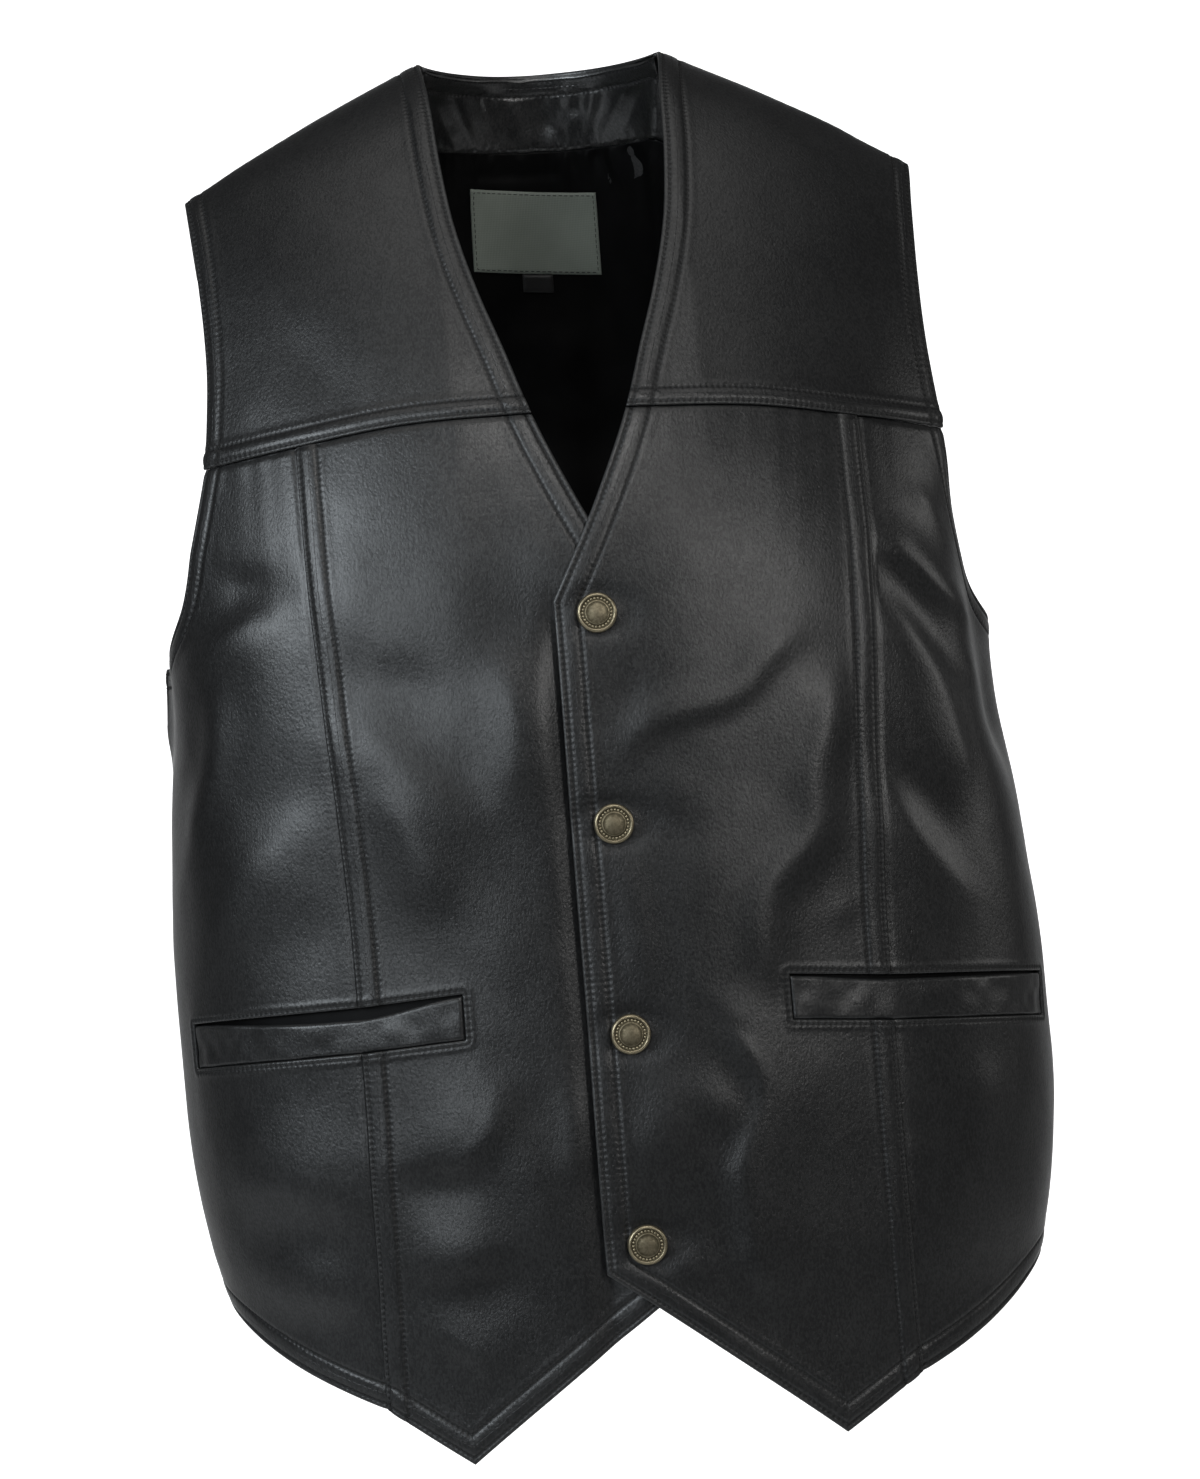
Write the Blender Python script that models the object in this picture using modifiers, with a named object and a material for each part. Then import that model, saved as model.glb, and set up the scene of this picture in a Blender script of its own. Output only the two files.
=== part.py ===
"""Leather vest with a pointed hem and four snaps, from the pieces that are cut and sewn.

Metres, +Z up. The front faces -Y and +X is the wearer's left. The origin is midway between the
two points where the shoulder seams meet the neck, from which a garment's lengths are measured.

Every piece lies on one surface, the filled-out garment. A place on it has an angle round the
body (0 at centre front, 90 at the left side) and a height z. A piece is a flat slab whose points
are placed on that surface, between the curves of its seams and edges.
"""

import math
from collections import namedtuple

import bmesh
import bpy
import numpy as np
from mathutils import Matrix, Vector

# Cloth
WALL = 0.0020  # leather with its backing
FACING_WALL = 0.0012
LINING_WALL = 0.0010
LABEL_WALL = 0.0010
SEAM_GAP = 0.0003
SHOULDER_GAP = 0.0008

# Form
NECK_HALF = 0.0556  # half the neck opening, at the shoulder seams
NECK_BACK = 0.058  # how far the back neck edge lies behind the shoulder seams
NECK_ROUND = 0.75
SHOULDER_SLOPE = math.radians(27.5)
SHOULDER_REACH = 0.25  # height over which the shoulder rounds into the chest
SHOULDER_ROUND = 0.6
SHOULDER_CROWN = 0.0022  # how far the shoulder seam bows up
SHOULDER_TIP_X = 0.1687
SQUARENESS = 2.5  # 2 is an ellipse
LEAN = 0.0195  # the garment hangs a little to the wearer's left
MEAN_RADIUS = 0.165  # turns an angle into a distance for the folds

# Closure
OVERLAP = 0.0185  # how far each front runs past centre front
LIFT = 0.0027  # the left front lies this far out, over the right one
LIFT_NEAR = 0.024  # full lift within this distance of centre front
LIFT_FAR = 0.075
LIFT_TOP = -0.13
LIFT_FULL = -0.20
BREAK_Z = -0.257  # where the neck edge turns into the front edge

# Seams and hem
SIDE_ANGLE = 93.0
SIDE_TOP_Z = -0.274
SIDE_HEM_Z = -0.561
BACK_HEM_Z = -0.566
HEM_POINT_X = 0.083
UNDERARM_SAG = 0.012
BACK_INNER_ANGLE = 158.0
BACK_SAG = 0.030

# Pockets
POCKET_INNER_X = 0.072
POCKET_OUTER_ANGLE = 68.0
POCKET_INNER_Z = -0.4265
POCKET_OUTER_Z = -0.4360
POCKET_SEAM_Z = -0.4302  # where the seam between the panels crosses the mouth
POCKET_HEIGHT = 0.0205
MOUTH_ENDS = 0.0012
MOUTH_MIDDLE = {-1: 0.0055, 1: 0.0022}
WELT_REACH = 0.99
BAG_LOW = 0.28  # rows of the panels that the bag covers
BAG_HIGH = 2.12
BAG_ROOM = 0.0009  # clear of the panels' facets

# Inside the back neck
FACING_HEIGHT = 0.034
FACING_LOW_X = 0.066
FACING_TIP_X = 0.1665
LINING_GAP = 0.002  # in rows of the back
FACET_ROOM = 0.0005  # the tapes' ends lie within the lining's facets
TAPE_CENTRE_X = -0.0040
TAPE_TILT = 0.07  # the label is sewn on a little askew
LABEL_HALF = 0.0317
LABEL_TOP = -0.0525
LABEL_HEIGHT = 0.0385
TAB_HALF = 0.0075
TAB_HEIGHT = 0.0085

# Snaps
SNAP_TOP_Z = -0.263
SNAP_PITCH = 0.0927
SNAP_COUNT = 4
CAP_RADIUS = 0.0089
CAP_HEIGHT = 0.0034
POST_RADIUS = 0.0060
POST_HEIGHT = 0.0016
SNAP_SEAT = 0.0004
ROUND_STEPS = 20

# Cells of the pieces. A pair is a count and how far the cells crowd to their block's end.
WINDOW_CELLS = 4  # columns of each panel in the pocket window
CENTRE_CELLS = 8
SIDE_CELLS = 4
PANEL_CELLS = (7, 1, 9, 5)
YOKE_CELLS_ACROSS = 10
YOKE_CELLS_UP = (11, 1.8)
BACK_CELLS_ACROSS = (6, 10, 6)
BACK_CELLS_UP = (8, (10, 1.3), (4, 1.6))
WELT_CELLS = 2
LABEL_CELLS = (6, 4)
TAB_CELLS = (2, 1)
SHARP_ANGLE = math.radians(40)

Section = namedtuple("Section", "z half_width front_depth back_depth")
SECTIONS = (
    Section(0.000, 0.1870, 0.098, 0.092),
    Section(-0.060, 0.1870, 0.104, 0.100),
    Section(-0.120, 0.1870, 0.111, 0.107),
    Section(-0.180, 0.1885, 0.117, 0.111),
    Section(-0.240, 0.1900, 0.121, 0.110),
    Section(-0.290, 0.1920, 0.122, 0.106),
    Section(-0.350, 0.1975, 0.121, 0.102),
    Section(-0.400, 0.2010, 0.120, 0.101),
    Section(-0.450, 0.2010, 0.120, 0.104),
    Section(-0.500, 0.1995, 0.120, 0.109),
    Section(-0.540, 0.1940, 0.119, 0.110),
    Section(-0.570, 0.1870, 0.118, 0.108),
    Section(-0.640, 0.1780, 0.116, 0.105),
)

Hem = namedtuple("Hem", "corner_z point_z seam_z pocket_z")
HEMS = {
    -1: Hem(-0.5590, -0.6345, -0.6090, -0.5755),
    1: Hem(-0.5535, -0.6312, -0.6080, -0.5715),
}

EdgeRow = namedtuple("EdgeRow", "z x")
NECK_EDGE = (
    EdgeRow(0.000, 0.0556),
    EdgeRow(-0.020, 0.0532),
    EdgeRow(-0.055, 0.0508),
    EdgeRow(-0.085, 0.0470),
    EdgeRow(-0.117, 0.0390),
    EdgeRow(-0.143, 0.0304),
    EdgeRow(-0.173, 0.0208),
    EdgeRow(-0.213, 0.0037),
    EdgeRow(-0.257, -0.0185),
)
PANEL_SEAM = (
    EdgeRow(-0.180, 0.1260),
    EdgeRow(-0.240, 0.1255),
    EdgeRow(-0.290, 0.1235),
    EdgeRow(-0.345, 0.1205),
    EdgeRow(-0.400, 0.1186),
    EdgeRow(-0.450, 0.1182),
    EdgeRow(-0.510, 0.1185),
    EdgeRow(-0.606, 0.1195),
)

ArmholeRow = namedtuple("ArmholeRow", "angle z")
# The stretches of the armhole between its corners at the side seam, yoke seam and shoulder tip.
ARMHOLE_YOKE = (
    ArmholeRow(55.3, -0.1470),
    ArmholeRow(55.7, -0.1120),
    ArmholeRow(57.0, -0.0800),
)
ARMHOLE_SIDE = (
    ArmholeRow(83.0, -0.2725),
    ArmholeRow(73.5, -0.2650),
    ArmholeRow(66.0, -0.2500),
    ArmholeRow(61.2, -0.2220),
)
ARMHOLE_BACK = (
    ArmholeRow(104.0, -0.2720),
    ArmholeRow(113.0, -0.2600),
    ArmholeRow(119.5, -0.2350),
    ArmholeRow(123.5, -0.1900),
    ArmholeRow(124.5, -0.1400),
    ArmholeRow(123.3, -0.0950),
)

YokeRow = namedtuple("YokeRow", "x z")
YOKE_SEAM = (
    YokeRow(0.0208, -0.1728),
    YokeRow(0.0800, -0.1745),
    YokeRow(0.1260, -0.1805),
    YokeRow(0.1676, -0.1865),
)

# Each fold runs from a to b as a soft ridge (height above 0) or trough. Angles are in degrees.
Fold = namedtuple("Fold", "angle_a z_a angle_b z_b width height")
FOLDS = (
    # right front
    Fold(-33, -0.312, -21, -0.378, 0.014, 0.0040),
    Fold(-36, -0.290, -22, -0.335, 0.014, -0.0035),
    Fold(-12, -0.285, -13, -0.350, 0.014, 0.0030),
    Fold(-16, -0.430, -18, -0.490, 0.014, 0.0030),
    Fold(-25, -0.515, -34, -0.570, 0.018, 0.0030),
    Fold(-20, -0.556, -11, -0.541, 0.016, -0.0030),
    Fold(-56, -0.232, -41, -0.248, 0.013, -0.0040),
    Fold(-66, -0.262, -42, -0.275, 0.014, 0.0030),
    Fold(-42, -0.330, -66, -0.385, 0.016, -0.0035),
    Fold(-37, -0.352, -64, -0.425, 0.016, 0.0040),
    # left front
    Fold(44, -0.212, 63, -0.258, 0.013, -0.0040),
    Fold(40, -0.228, 61, -0.286, 0.013, 0.0040),
    Fold(42, -0.246, 64, -0.330, 0.013, -0.0035),
    Fold(39, -0.262, 61, -0.366, 0.014, 0.0040),
    Fold(38, -0.309, 65, -0.404, 0.014, 0.0035),
    Fold(27, -0.262, 11, -0.312, 0.015, -0.0040),
    Fold(30, -0.321, 22, -0.386, 0.014, 0.0040),
    Fold(19, -0.389, 14, -0.477, 0.014, 0.0040),
    Fold(11, -0.502, 12, -0.564, 0.015, 0.0030),
    # sides, where the underarm pulls in and the seam flares out
    Fold(-67, -0.225, -70, -0.265, 0.028, 0.0040),
    Fold(-97, -0.266, -95, -0.300, 0.016, 0.0040),
    Fold(66, -0.225, 70, -0.310, 0.030, -0.0085),
    Fold(72, -0.330, 74, -0.380, 0.030, -0.0025),
    Fold(88, -0.290, 90, -0.430, 0.032, -0.0040),
    # back
    Fold(116, -0.300, 146, -0.385, 0.020, 0.0040),
    Fold(-118, -0.310, -150, -0.400, 0.020, 0.0040),
    Fold(166, -0.400, 170, -0.530, 0.022, 0.0030),
    Fold(-158, -0.430, -164, -0.540, 0.022, 0.0030),
)

Material = namedtuple("Material", "name colour roughness metallic")
LEATHER = Material("black_leather", (0.020, 0.021, 0.022), 0.42, 0.0)
SATIN = Material("black_satin", (0.014, 0.014, 0.015), 0.34, 0.0)
LABEL_CLOTH = Material("label_satin", (0.17, 0.19, 0.17), 0.45, 0.0)
TAB_CLOTH = Material("tab_tape", (0.020, 0.020, 0.022), 0.55, 0.0)
BRASS = Material("antique_brass", (0.34, 0.26, 0.15), 0.40, 1.0)


def smooth(value, low, high):
    """0 at low, 1 at high, with a soft start and end."""
    share = np.clip((value - low) / (high - low), 0, 1)
    return share * share * (3 - 2 * share)


def through(at, knots, values):
    """A smooth curve through the values at the knots, which run either way."""
    order = np.argsort(knots)
    knots = np.asarray(knots, float)[order]
    values = np.asarray(values, float)[order]
    slopes = np.gradient(values, knots)
    at = np.clip(at, knots[0], knots[-1])
    low = np.clip(np.searchsorted(knots, at) - 1, 0, len(knots) - 2)
    span = knots[low + 1] - knots[low]
    t = (at - knots[low]) / span
    return (
        values[low] * (1 + 2 * t) * (1 - t) ** 2
        + values[low + 1] * t * t * (3 - 2 * t)
        + span * slopes[low] * t * (1 - t) ** 2
        + span * slopes[low + 1] * t * t * (t - 1)
    )


def column(rows, name):
    return [getattr(row, name) for row in rows]


def section(z, name):
    return through(z, column(SECTIONS, "z"), column(SECTIONS, name))


def edge_x(rows, z):
    return through(z, column(rows, "z"), column(rows, "x"))


def ridge_z(x):
    """Height of the shoulder seam, and of the neck edge between the seams."""
    past = np.maximum(np.abs(x) - NECK_HALF, 0)
    share = np.minimum(past / (SHOULDER_TIP_X - NECK_HALF), 1)
    return SHOULDER_CROWN * np.sin(math.pi * share) - past * math.tan(SHOULDER_SLOPE)


def ring(angle, z):
    """The body's outline at height z, before the shoulders close it."""
    sine, cosine = np.sin(angle), np.cos(angle)
    reach = (np.abs(sine) ** SQUARENESS + np.abs(cosine) ** SQUARENESS) ** (-1 / SQUARENESS)
    depth = np.where(cosine > 0, section(z, "front_depth"), section(z, "back_depth"))
    return section(z, "half_width") * sine * reach, -depth * cosine * reach


def front_angle(x, z):
    """The angle of the point of the front that is x from the centre plane."""
    share = np.minimum(np.abs(x) / section(z, "half_width"), 0.9999)
    return np.sign(x) * np.arctan2(share, (1 - share**SQUARENESS) ** (1 / SQUARENESS))


def skin(angle, z):
    """The plain form, with no folds: points with the last axis x, y, z."""
    x, y = ring(angle, z)
    behind = np.cos(angle) < 0
    inside = np.maximum(1 - (x / NECK_HALF) ** 2, 0)
    neck = np.where(behind, NECK_BACK * inside**NECK_ROUND, 0)
    drop = np.clip((ridge_z(x) - z) / SHOULDER_REACH, 0, 1)
    closing = (1 - (1 - drop) ** 2) ** SHOULDER_ROUND
    side = np.where(behind, 1, -1) * SHOULDER_GAP / 2
    return np.stack([x - LEAN * z, neck + (y - neck) * closing + side, z + 0 * x], -1)


def outward(angle, z):
    """The direction out of the cloth."""
    step = 1e-4
    x = ring(angle, z)[0]
    beyond = ring(angle + step, z)[0]
    before = ring(angle - step, z)[0]
    along = skin(angle + step, z + ridge_z(beyond) - ridge_z(x))
    along = along - skin(angle - step, z + ridge_z(before) - ridge_z(x))
    up = skin(angle, z) - skin(angle, z - step)
    normal = np.cross(along, up)
    return normal / np.linalg.norm(normal, axis=-1, keepdims=True)


def fold_height(angle, z):
    total = np.zeros(np.shape(angle))
    for fold in FOLDS:
        turn = angle - math.radians(fold.angle_a)
        turn = (turn + math.pi) % (2 * math.pi) - math.pi
        place = np.stack([turn * MEAN_RADIUS, z - fold.z_a], -1)
        sweep = math.radians(fold.angle_b - fold.angle_a) * MEAN_RADIUS
        along = np.array([sweep, fold.z_b - fold.z_a])
        share = np.clip(place @ along / (along @ along), 0, 1)
        away = np.linalg.norm(place - share[..., None] * along, axis=-1)
        total = total + fold.height * np.exp(-((away / fold.width) ** 2))
    return total


def closure_lift(angle, z):
    x = ring(angle, z)[0]
    near = 1 - smooth(x, LIFT_NEAR, LIFT_FAR)
    low = 1 - smooth(z, LIFT_FULL, LIFT_TOP)
    return LIFT * near * low


def cloth(angle, z, out, lifted=False):
    """Points of the garment, moved out of its surface by a distance."""
    out = out + fold_height(angle, z)
    if lifted:
        out = out + closure_lift(angle, z)
    return skin(angle, z) + outward(angle, z) * out[..., None]


def curve_through(places):
    """A smooth curve through places (angle, z), for shares 0 to 1 of its length."""
    places = np.asarray(places, float)
    steps = np.linalg.norm(np.diff(places * (MEAN_RADIUS, 1), axis=0), axis=1)
    knots = np.concatenate([[0], np.cumsum(steps)]) / steps.sum()
    return lambda share: np.stack([through(share, knots, places[:, i]) for i in (0, 1)], -1)


def row_line(*places, smooth_bends=False):
    """A line across a piece, through one place for each of its column blocks."""
    places = np.asarray(places, float)
    knots = np.arange(len(places))
    bend = through if smooth_bends else np.interp
    return lambda block: np.stack([bend(block, knots, places[:, i]) for i in (0, 1)], -1)


def front_place(x, z):
    """Angle and z of the front, x from the centre plane."""
    return np.stack(np.broadcast_arrays(front_angle(x, z), z), -1)


def back_place(x, z):
    return np.stack(np.broadcast_arrays(math.pi - front_angle(x, z), z), -1)


def edge_stretch(rows, z_low, z_high, shift=0.0):
    """The stretch of a seam or an edge between two heights, for shares 0 to 1."""

    def place(share):
        z = z_low + (z_high - z_low) * share
        return front_place(edge_x(rows, z) + shift, z)

    return place


def yoke_z(x):
    return through(x, column(YOKE_SEAM, "x"), column(YOKE_SEAM, "z"))


def yoke_line(stops, shift):
    """The yoke seam, moved up or down, with a stop in x for each column block."""

    def place(block):
        x = np.interp(block, np.arange(len(stops)), stops)
        return front_place(x, yoke_z(x) + shift)

    return place


def seam_place(z, shift):
    return front_place(edge_x(PANEL_SEAM, z) + shift, z)


def armhole_places(rows):
    return [(math.radians(row.angle), row.z) for row in rows]


def patch(lines, bands, blocks):
    """Places of a piece. Its rows run between the lines, and each band has its two side edges."""

    def place(columns, rows):
        places = np.zeros((*rows.shape, 2))
        for index, (left, right) in enumerate(bands):
            here = np.clip(rows.astype(int), 0, len(bands) - 1) == index
            share = rows[here] - index
            rise = share[:, None]
            across = (columns[here] / blocks)[:, None]
            low, high = lines[index], lines[index + 1]
            corner_low, corner_high = low(np.array([0.0, blocks])), high(np.array([0.0, blocks]))
            chords = [corner_low[i] + (corner_high[i] - corner_low[i]) * rise for i in (0, 1)]
            flat = low(columns[here]) + (high(columns[here]) - low(columns[here])) * rise
            bulge = (1 - across) * (left(share) - chords[0]) + across * (right(share) - chords[1])
            places[here] = flat + bulge
        return places[..., 0], places[..., 1]

    return place


def stations(*blocks):
    """Block coordinates of columns or rows, from the cells of each block."""
    parts = []
    for index, block in enumerate(blocks):
        count, crowding = block if isinstance(block, tuple) else (block, 1.0)
        parts.append(index + 1 - (1 - np.arange(count) / count) ** crowding)
    return np.concatenate([*parts, [len(blocks)]])


def mirrored(place, side):
    """The same piece on the wearer's left (side 1) or right (side -1)."""

    def placed(columns, rows):
        angle, z = place(columns, rows)
        return side * angle, z

    return placed


def material_of(spec):
    material = bpy.data.materials.get(spec.name)
    if material is None:
        material = bpy.data.materials.new(spec.name)
        material.use_nodes = True
        shader = material.node_tree.nodes["Principled BSDF"]
        shader.inputs["Base Color"].default_value = (*spec.colour, 1)
        shader.inputs["Roughness"].default_value = spec.roughness
        shader.inputs["Metallic"].default_value = spec.metallic
    return material


def add_object(name, bm, spec, collection):
    mesh = bpy.data.meshes.new(name)
    bm.to_mesh(mesh)
    bm.free()
    mesh.shade_smooth()
    mesh.set_sharp_from_angle(angle=SHARP_ANGLE)
    mesh.materials.append(material_of(spec))
    obj = bpy.data.objects.new(name, mesh)
    collection.objects.link(obj)
    return obj


Slab = namedtuple("Slab", "columns rows place thick out lifted window", defaults=(0.0, False, None))


def sewn_piece(name, slab, spec, collection):
    """A flat slab of cells, less those in its window, formed onto the garment.

    Its outer face lies at the slab's out, and its inner face deeper by its thickness.
    """
    across, along = len(slab.columns) - 1, len(slab.rows) - 1
    bm = bmesh.new()
    bmesh.ops.create_grid(bm, x_segments=across, y_segments=along, size=0.5)

    def cell(point):
        return (point[0] + 0.5) * across, (point[1] + 0.5) * along

    if slab.window:
        open_cells = []
        for face in bm.faces:
            column_at, row_at = cell(face.calc_center_median())
            if slab.window(slab.columns[int(column_at)], slab.rows[int(row_at)]):
                open_cells.append(face)
        bmesh.ops.delete(bm, geom=open_cells, context="FACES")
    bmesh.ops.solidify(bm, geom=bm.faces[:], thickness=1.0)
    flat = np.array([vert.co for vert in bm.verts])
    column_at, row_at = (np.rint(value).astype(int) for value in cell(flat.T))
    angle, z = slab.place(slab.columns[column_at], slab.rows[row_at])
    inner = np.abs(flat[:, 2]) > 0.5
    points = cloth(angle, z, slab.out - slab.thick * inner, slab.lifted)
    for vert, point in zip(bm.verts, points):
        vert.co = point
    bmesh.ops.triangulate(bm, faces=bm.faces[:], quad_method="SHORT_EDGE")
    if bm.calc_volume(signed=True) < 0:
        bmesh.ops.reverse_faces(bm, faces=bm.faces)
    return add_object(name, bm, spec, collection)


def front_yoke(side):
    gap = SEAM_GAP / 2
    inner_x, outer_x = YOKE_SEAM[0].x, YOKE_SEAM[-1].x
    seam = yoke_line([inner_x, outer_x], gap)
    stops = [NECK_HALF, SHOULDER_TIP_X]

    def shoulder(block):
        x = np.interp(block, [0, 1], stops)
        return front_place(x, ridge_z(x))

    corners = seam(1.0), shoulder(1.0)
    armhole = curve_through([corners[0], *armhole_places(ARMHOLE_YOKE), corners[1]])
    neck = edge_stretch(NECK_EDGE, yoke_z(inner_x) + gap, 0.0)
    place = patch([seam, shoulder], [(neck, armhole)], 1)
    columns, rows = stations(YOKE_CELLS_ACROSS), stations(YOKE_CELLS_UP)
    return Slab(columns, rows, mirrored(place, side), WALL, lifted=side > 0)


PANEL_ROWS = stations(*PANEL_CELLS)


def pocket_window(column_at, row_at):
    return column_at < 1 <= row_at < 2


def front_centre(side):
    gap = SEAM_GAP / 2
    inner_low = POCKET_INNER_Z - POCKET_HEIGHT
    seam_x = PANEL_SEAM[0].x - gap
    hem = HEMS[side]
    seam_z = [hem.seam_z, POCKET_SEAM_Z - POCKET_HEIGHT, POCKET_SEAM_Z, BREAK_Z, yoke_z(seam_x) - gap]
    edge_z = [hem.corner_z, inner_low, POCKET_INNER_Z, BREAK_Z, YOKE_SEAM[0].z - gap]
    middle_x = [HEM_POINT_X, POCKET_INNER_X, POCKET_INNER_X, POCKET_INNER_X]
    middle_z = [hem.point_z, inner_low, POCKET_INNER_Z, BREAK_Z]
    lines = []
    for seam_end, x, z, edge_end in zip(seam_z, middle_x, middle_z, edge_z):
        seam_side, edge_side = seam_place(seam_end, -gap), front_place(-OVERLAP, edge_end)
        lines.append(row_line(seam_side, front_place(x, z), edge_side))
    lines.append(yoke_line([seam_x, POCKET_INNER_X, YOKE_SEAM[0].x], -gap))
    bands = []
    for index in range(len(lines) - 1):
        seam = edge_stretch(PANEL_SEAM, seam_z[index], seam_z[index + 1], -gap)
        if edge_z[index] < BREAK_Z:
            ends = [front_place(-OVERLAP, z) for z in edge_z[index : index + 2]]
            bands.append((seam, curve_through(ends)))
        else:
            bands.append((seam, edge_stretch(NECK_EDGE, edge_z[index], edge_z[index + 1])))
    place = mirrored(patch(lines, bands, 2), side)
    columns = stations(WINDOW_CELLS, CENTRE_CELLS)
    return Slab(columns, PANEL_ROWS, place, WALL, lifted=side > 0, window=pocket_window)


def front_side(side):
    gap = SEAM_GAP / 2
    side_angle = math.radians(SIDE_ANGLE) - gap / MEAN_RADIUS
    pocket_angle = math.radians(POCKET_OUTER_ANGLE)
    outer_low = POCKET_OUTER_Z - POCKET_HEIGHT
    underarm_z = SIDE_TOP_Z - UNDERARM_SAG
    hem = HEMS[side]
    seam_z = [hem.seam_z, POCKET_SEAM_Z - POCKET_HEIGHT, POCKET_SEAM_Z, underarm_z]
    middle_z = [hem.pocket_z, outer_low, POCKET_OUTER_Z, SIDE_TOP_Z - UNDERARM_SAG / 2]
    side_z = [SIDE_HEM_Z, outer_low, POCKET_OUTER_Z, SIDE_TOP_Z]
    lines = []
    for seam_end, z, side_end in zip(seam_z, middle_z, side_z):
        places = seam_place(seam_end, gap), (pocket_angle, z), (side_angle, side_end)
        lines.append(row_line(*places, smooth_bends=not lines))
    seam_x, corner_x = PANEL_SEAM[0].x + gap, YOKE_SEAM[-1].x
    lines.append(yoke_line([seam_x, (seam_x + corner_x) / 2, corner_x], -gap))
    seam_z.append(yoke_z(seam_x) - gap)
    bands = []
    for index in range(len(lines) - 1):
        seam = edge_stretch(PANEL_SEAM, seam_z[index], seam_z[index + 1], gap)
        ends = [lines[index](2.0), lines[index + 1](2.0)]
        inner = armhole_places(ARMHOLE_SIDE) if index == len(lines) - 2 else []
        bands.append((seam, curve_through([ends[0], *inner, ends[1]])))
    place = mirrored(patch(lines, bands, 2), side)
    columns = stations(WINDOW_CELLS, SIDE_CELLS)
    return Slab(columns, PANEL_ROWS, place, WALL, window=pocket_window)


def around(angle):
    """The same angle on the other side of centre back."""
    return 2 * math.pi - angle


def both_ways(places):
    """A side edge of the back, and its mirror image."""
    return curve_through(places), curve_through([(around(angle), z) for angle, z in places])


def back_line(side_place, inner_place, centre_dip=0.0):
    """A line across the back, of three column blocks, with a dip at centre back."""
    (side_angle, side_z), (inner_angle, inner_z) = side_place, inner_place
    across = row_line(
        (side_angle, side_z),
        (inner_angle, inner_z),
        (around(inner_angle), inner_z),
        (around(side_angle), side_z),
    )

    def place(block):
        places = across(block)
        share = (places[..., 0] - math.pi) / (side_angle - math.pi)
        places[..., 1] -= centre_dip * (1 - share**2)
        return places

    return place


def neck_line(stops, drop):
    """The shoulder and neck edges of the back, lowered by a drop, with a stop in x for each block."""

    def place(block):
        x = np.interp(block, np.arange(len(stops)), stops)
        return back_place(x, ridge_z(x) - drop)

    return place


def back_place_map():
    """Places of the back. Its rows run from the hem past the underarm and the facing to the top."""
    side_angle = math.radians(SIDE_ANGLE) + SEAM_GAP / 2 / MEAN_RADIUS
    inner = math.radians(BACK_INNER_ANGLE)
    hem = back_line((side_angle, SIDE_HEM_Z), (inner, SIDE_HEM_Z), SIDE_HEM_Z - BACK_HEM_Z)
    chest = back_line((side_angle, SIDE_TOP_Z), (inner, SIDE_TOP_Z - BACK_SAG))
    yoke = neck_line([FACING_TIP_X, FACING_LOW_X, -FACING_LOW_X, -FACING_TIP_X], FACING_HEIGHT)
    top = neck_line([SHOULDER_TIP_X, NECK_HALF, -NECK_HALF, -SHOULDER_TIP_X], 0.0)
    places = armhole_places(ARMHOLE_BACK)
    bands = [
        both_ways([hem(0.0), chest(0.0)]),
        both_ways([chest(0.0), *places, yoke(0.0)]),
        both_ways([yoke(0.0), top(0.0)]),
    ]
    return patch([hem, chest, yoke, top], bands, 3)


BACK_COLUMNS = stations(*BACK_CELLS_ACROSS)
BACK_ROWS = stations(*BACK_CELLS_UP)


def back():
    return Slab(BACK_COLUMNS, BACK_ROWS, back_place_map(), WALL)


def back_neck_facing():
    columns = BACK_COLUMNS[(BACK_COLUMNS >= 1) & (BACK_COLUMNS <= 2)]
    rows = BACK_ROWS[BACK_ROWS >= 2]
    return Slab(columns, rows, back_place_map(), FACING_WALL, -WALL - SEAM_GAP)


def back_lining():
    rows = BACK_ROWS[1:]
    rows = np.where(rows == 2, 2 - LINING_GAP, rows)[rows <= 2]
    return Slab(BACK_COLUMNS[1:-1], rows, back_place_map(), LINING_WALL, -WALL - SEAM_GAP)


def neck_tape(half_width, top_z, height, cells):
    """A tape inside the back, on the lining."""

    def place(columns, rows):
        across = half_width * (1 - 2 * columns)
        places = back_place(TAPE_CENTRE_X + across, top_z - height * (1 - rows) - TAPE_TILT * across)
        return places[..., 0], places[..., 1]

    depth = WALL + LINING_WALL + 2 * SEAM_GAP + FACET_ROOM
    return Slab(stations(cells[0]), stations(cells[1]), place, LABEL_WALL, -depth)


def pocket_place(side):
    """Places across the pocket: columns below 0 on the centre panel, above 0 on the side panel."""
    centre, outer = front_centre(side).place, front_side(side).place

    def place(columns, rows):
        on_side = columns > 0
        centre_angle, centre_z = centre(np.abs(columns), rows)
        outer_angle, outer_z = outer(np.abs(columns), rows)
        return np.where(on_side, outer_angle, centre_angle), np.where(on_side, outer_z, centre_z)

    return place


def pocket_columns(reach):
    """The columns of both panels' windows, to a share of the way to their ends."""
    half = np.linspace(0, 1, WINDOW_CELLS + 1)[1:] * reach
    return np.concatenate([-half[::-1], half])


def pocket_welt(side):
    inside = pocket_place(side)

    def place(columns, rows):
        gape = np.cos(math.pi / 2 * columns) ** 2
        mouth = (MOUTH_ENDS + (MOUTH_MIDDLE[side] - MOUTH_ENDS) * gape) / POCKET_HEIGHT
        low = SEAM_GAP / POCKET_HEIGHT
        return inside(columns, 1 + low + (1 - low - mouth) * rows)

    return Slab(pocket_columns(WELT_REACH), stations(WELT_CELLS), place, WALL, lifted=side > 0)


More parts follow.
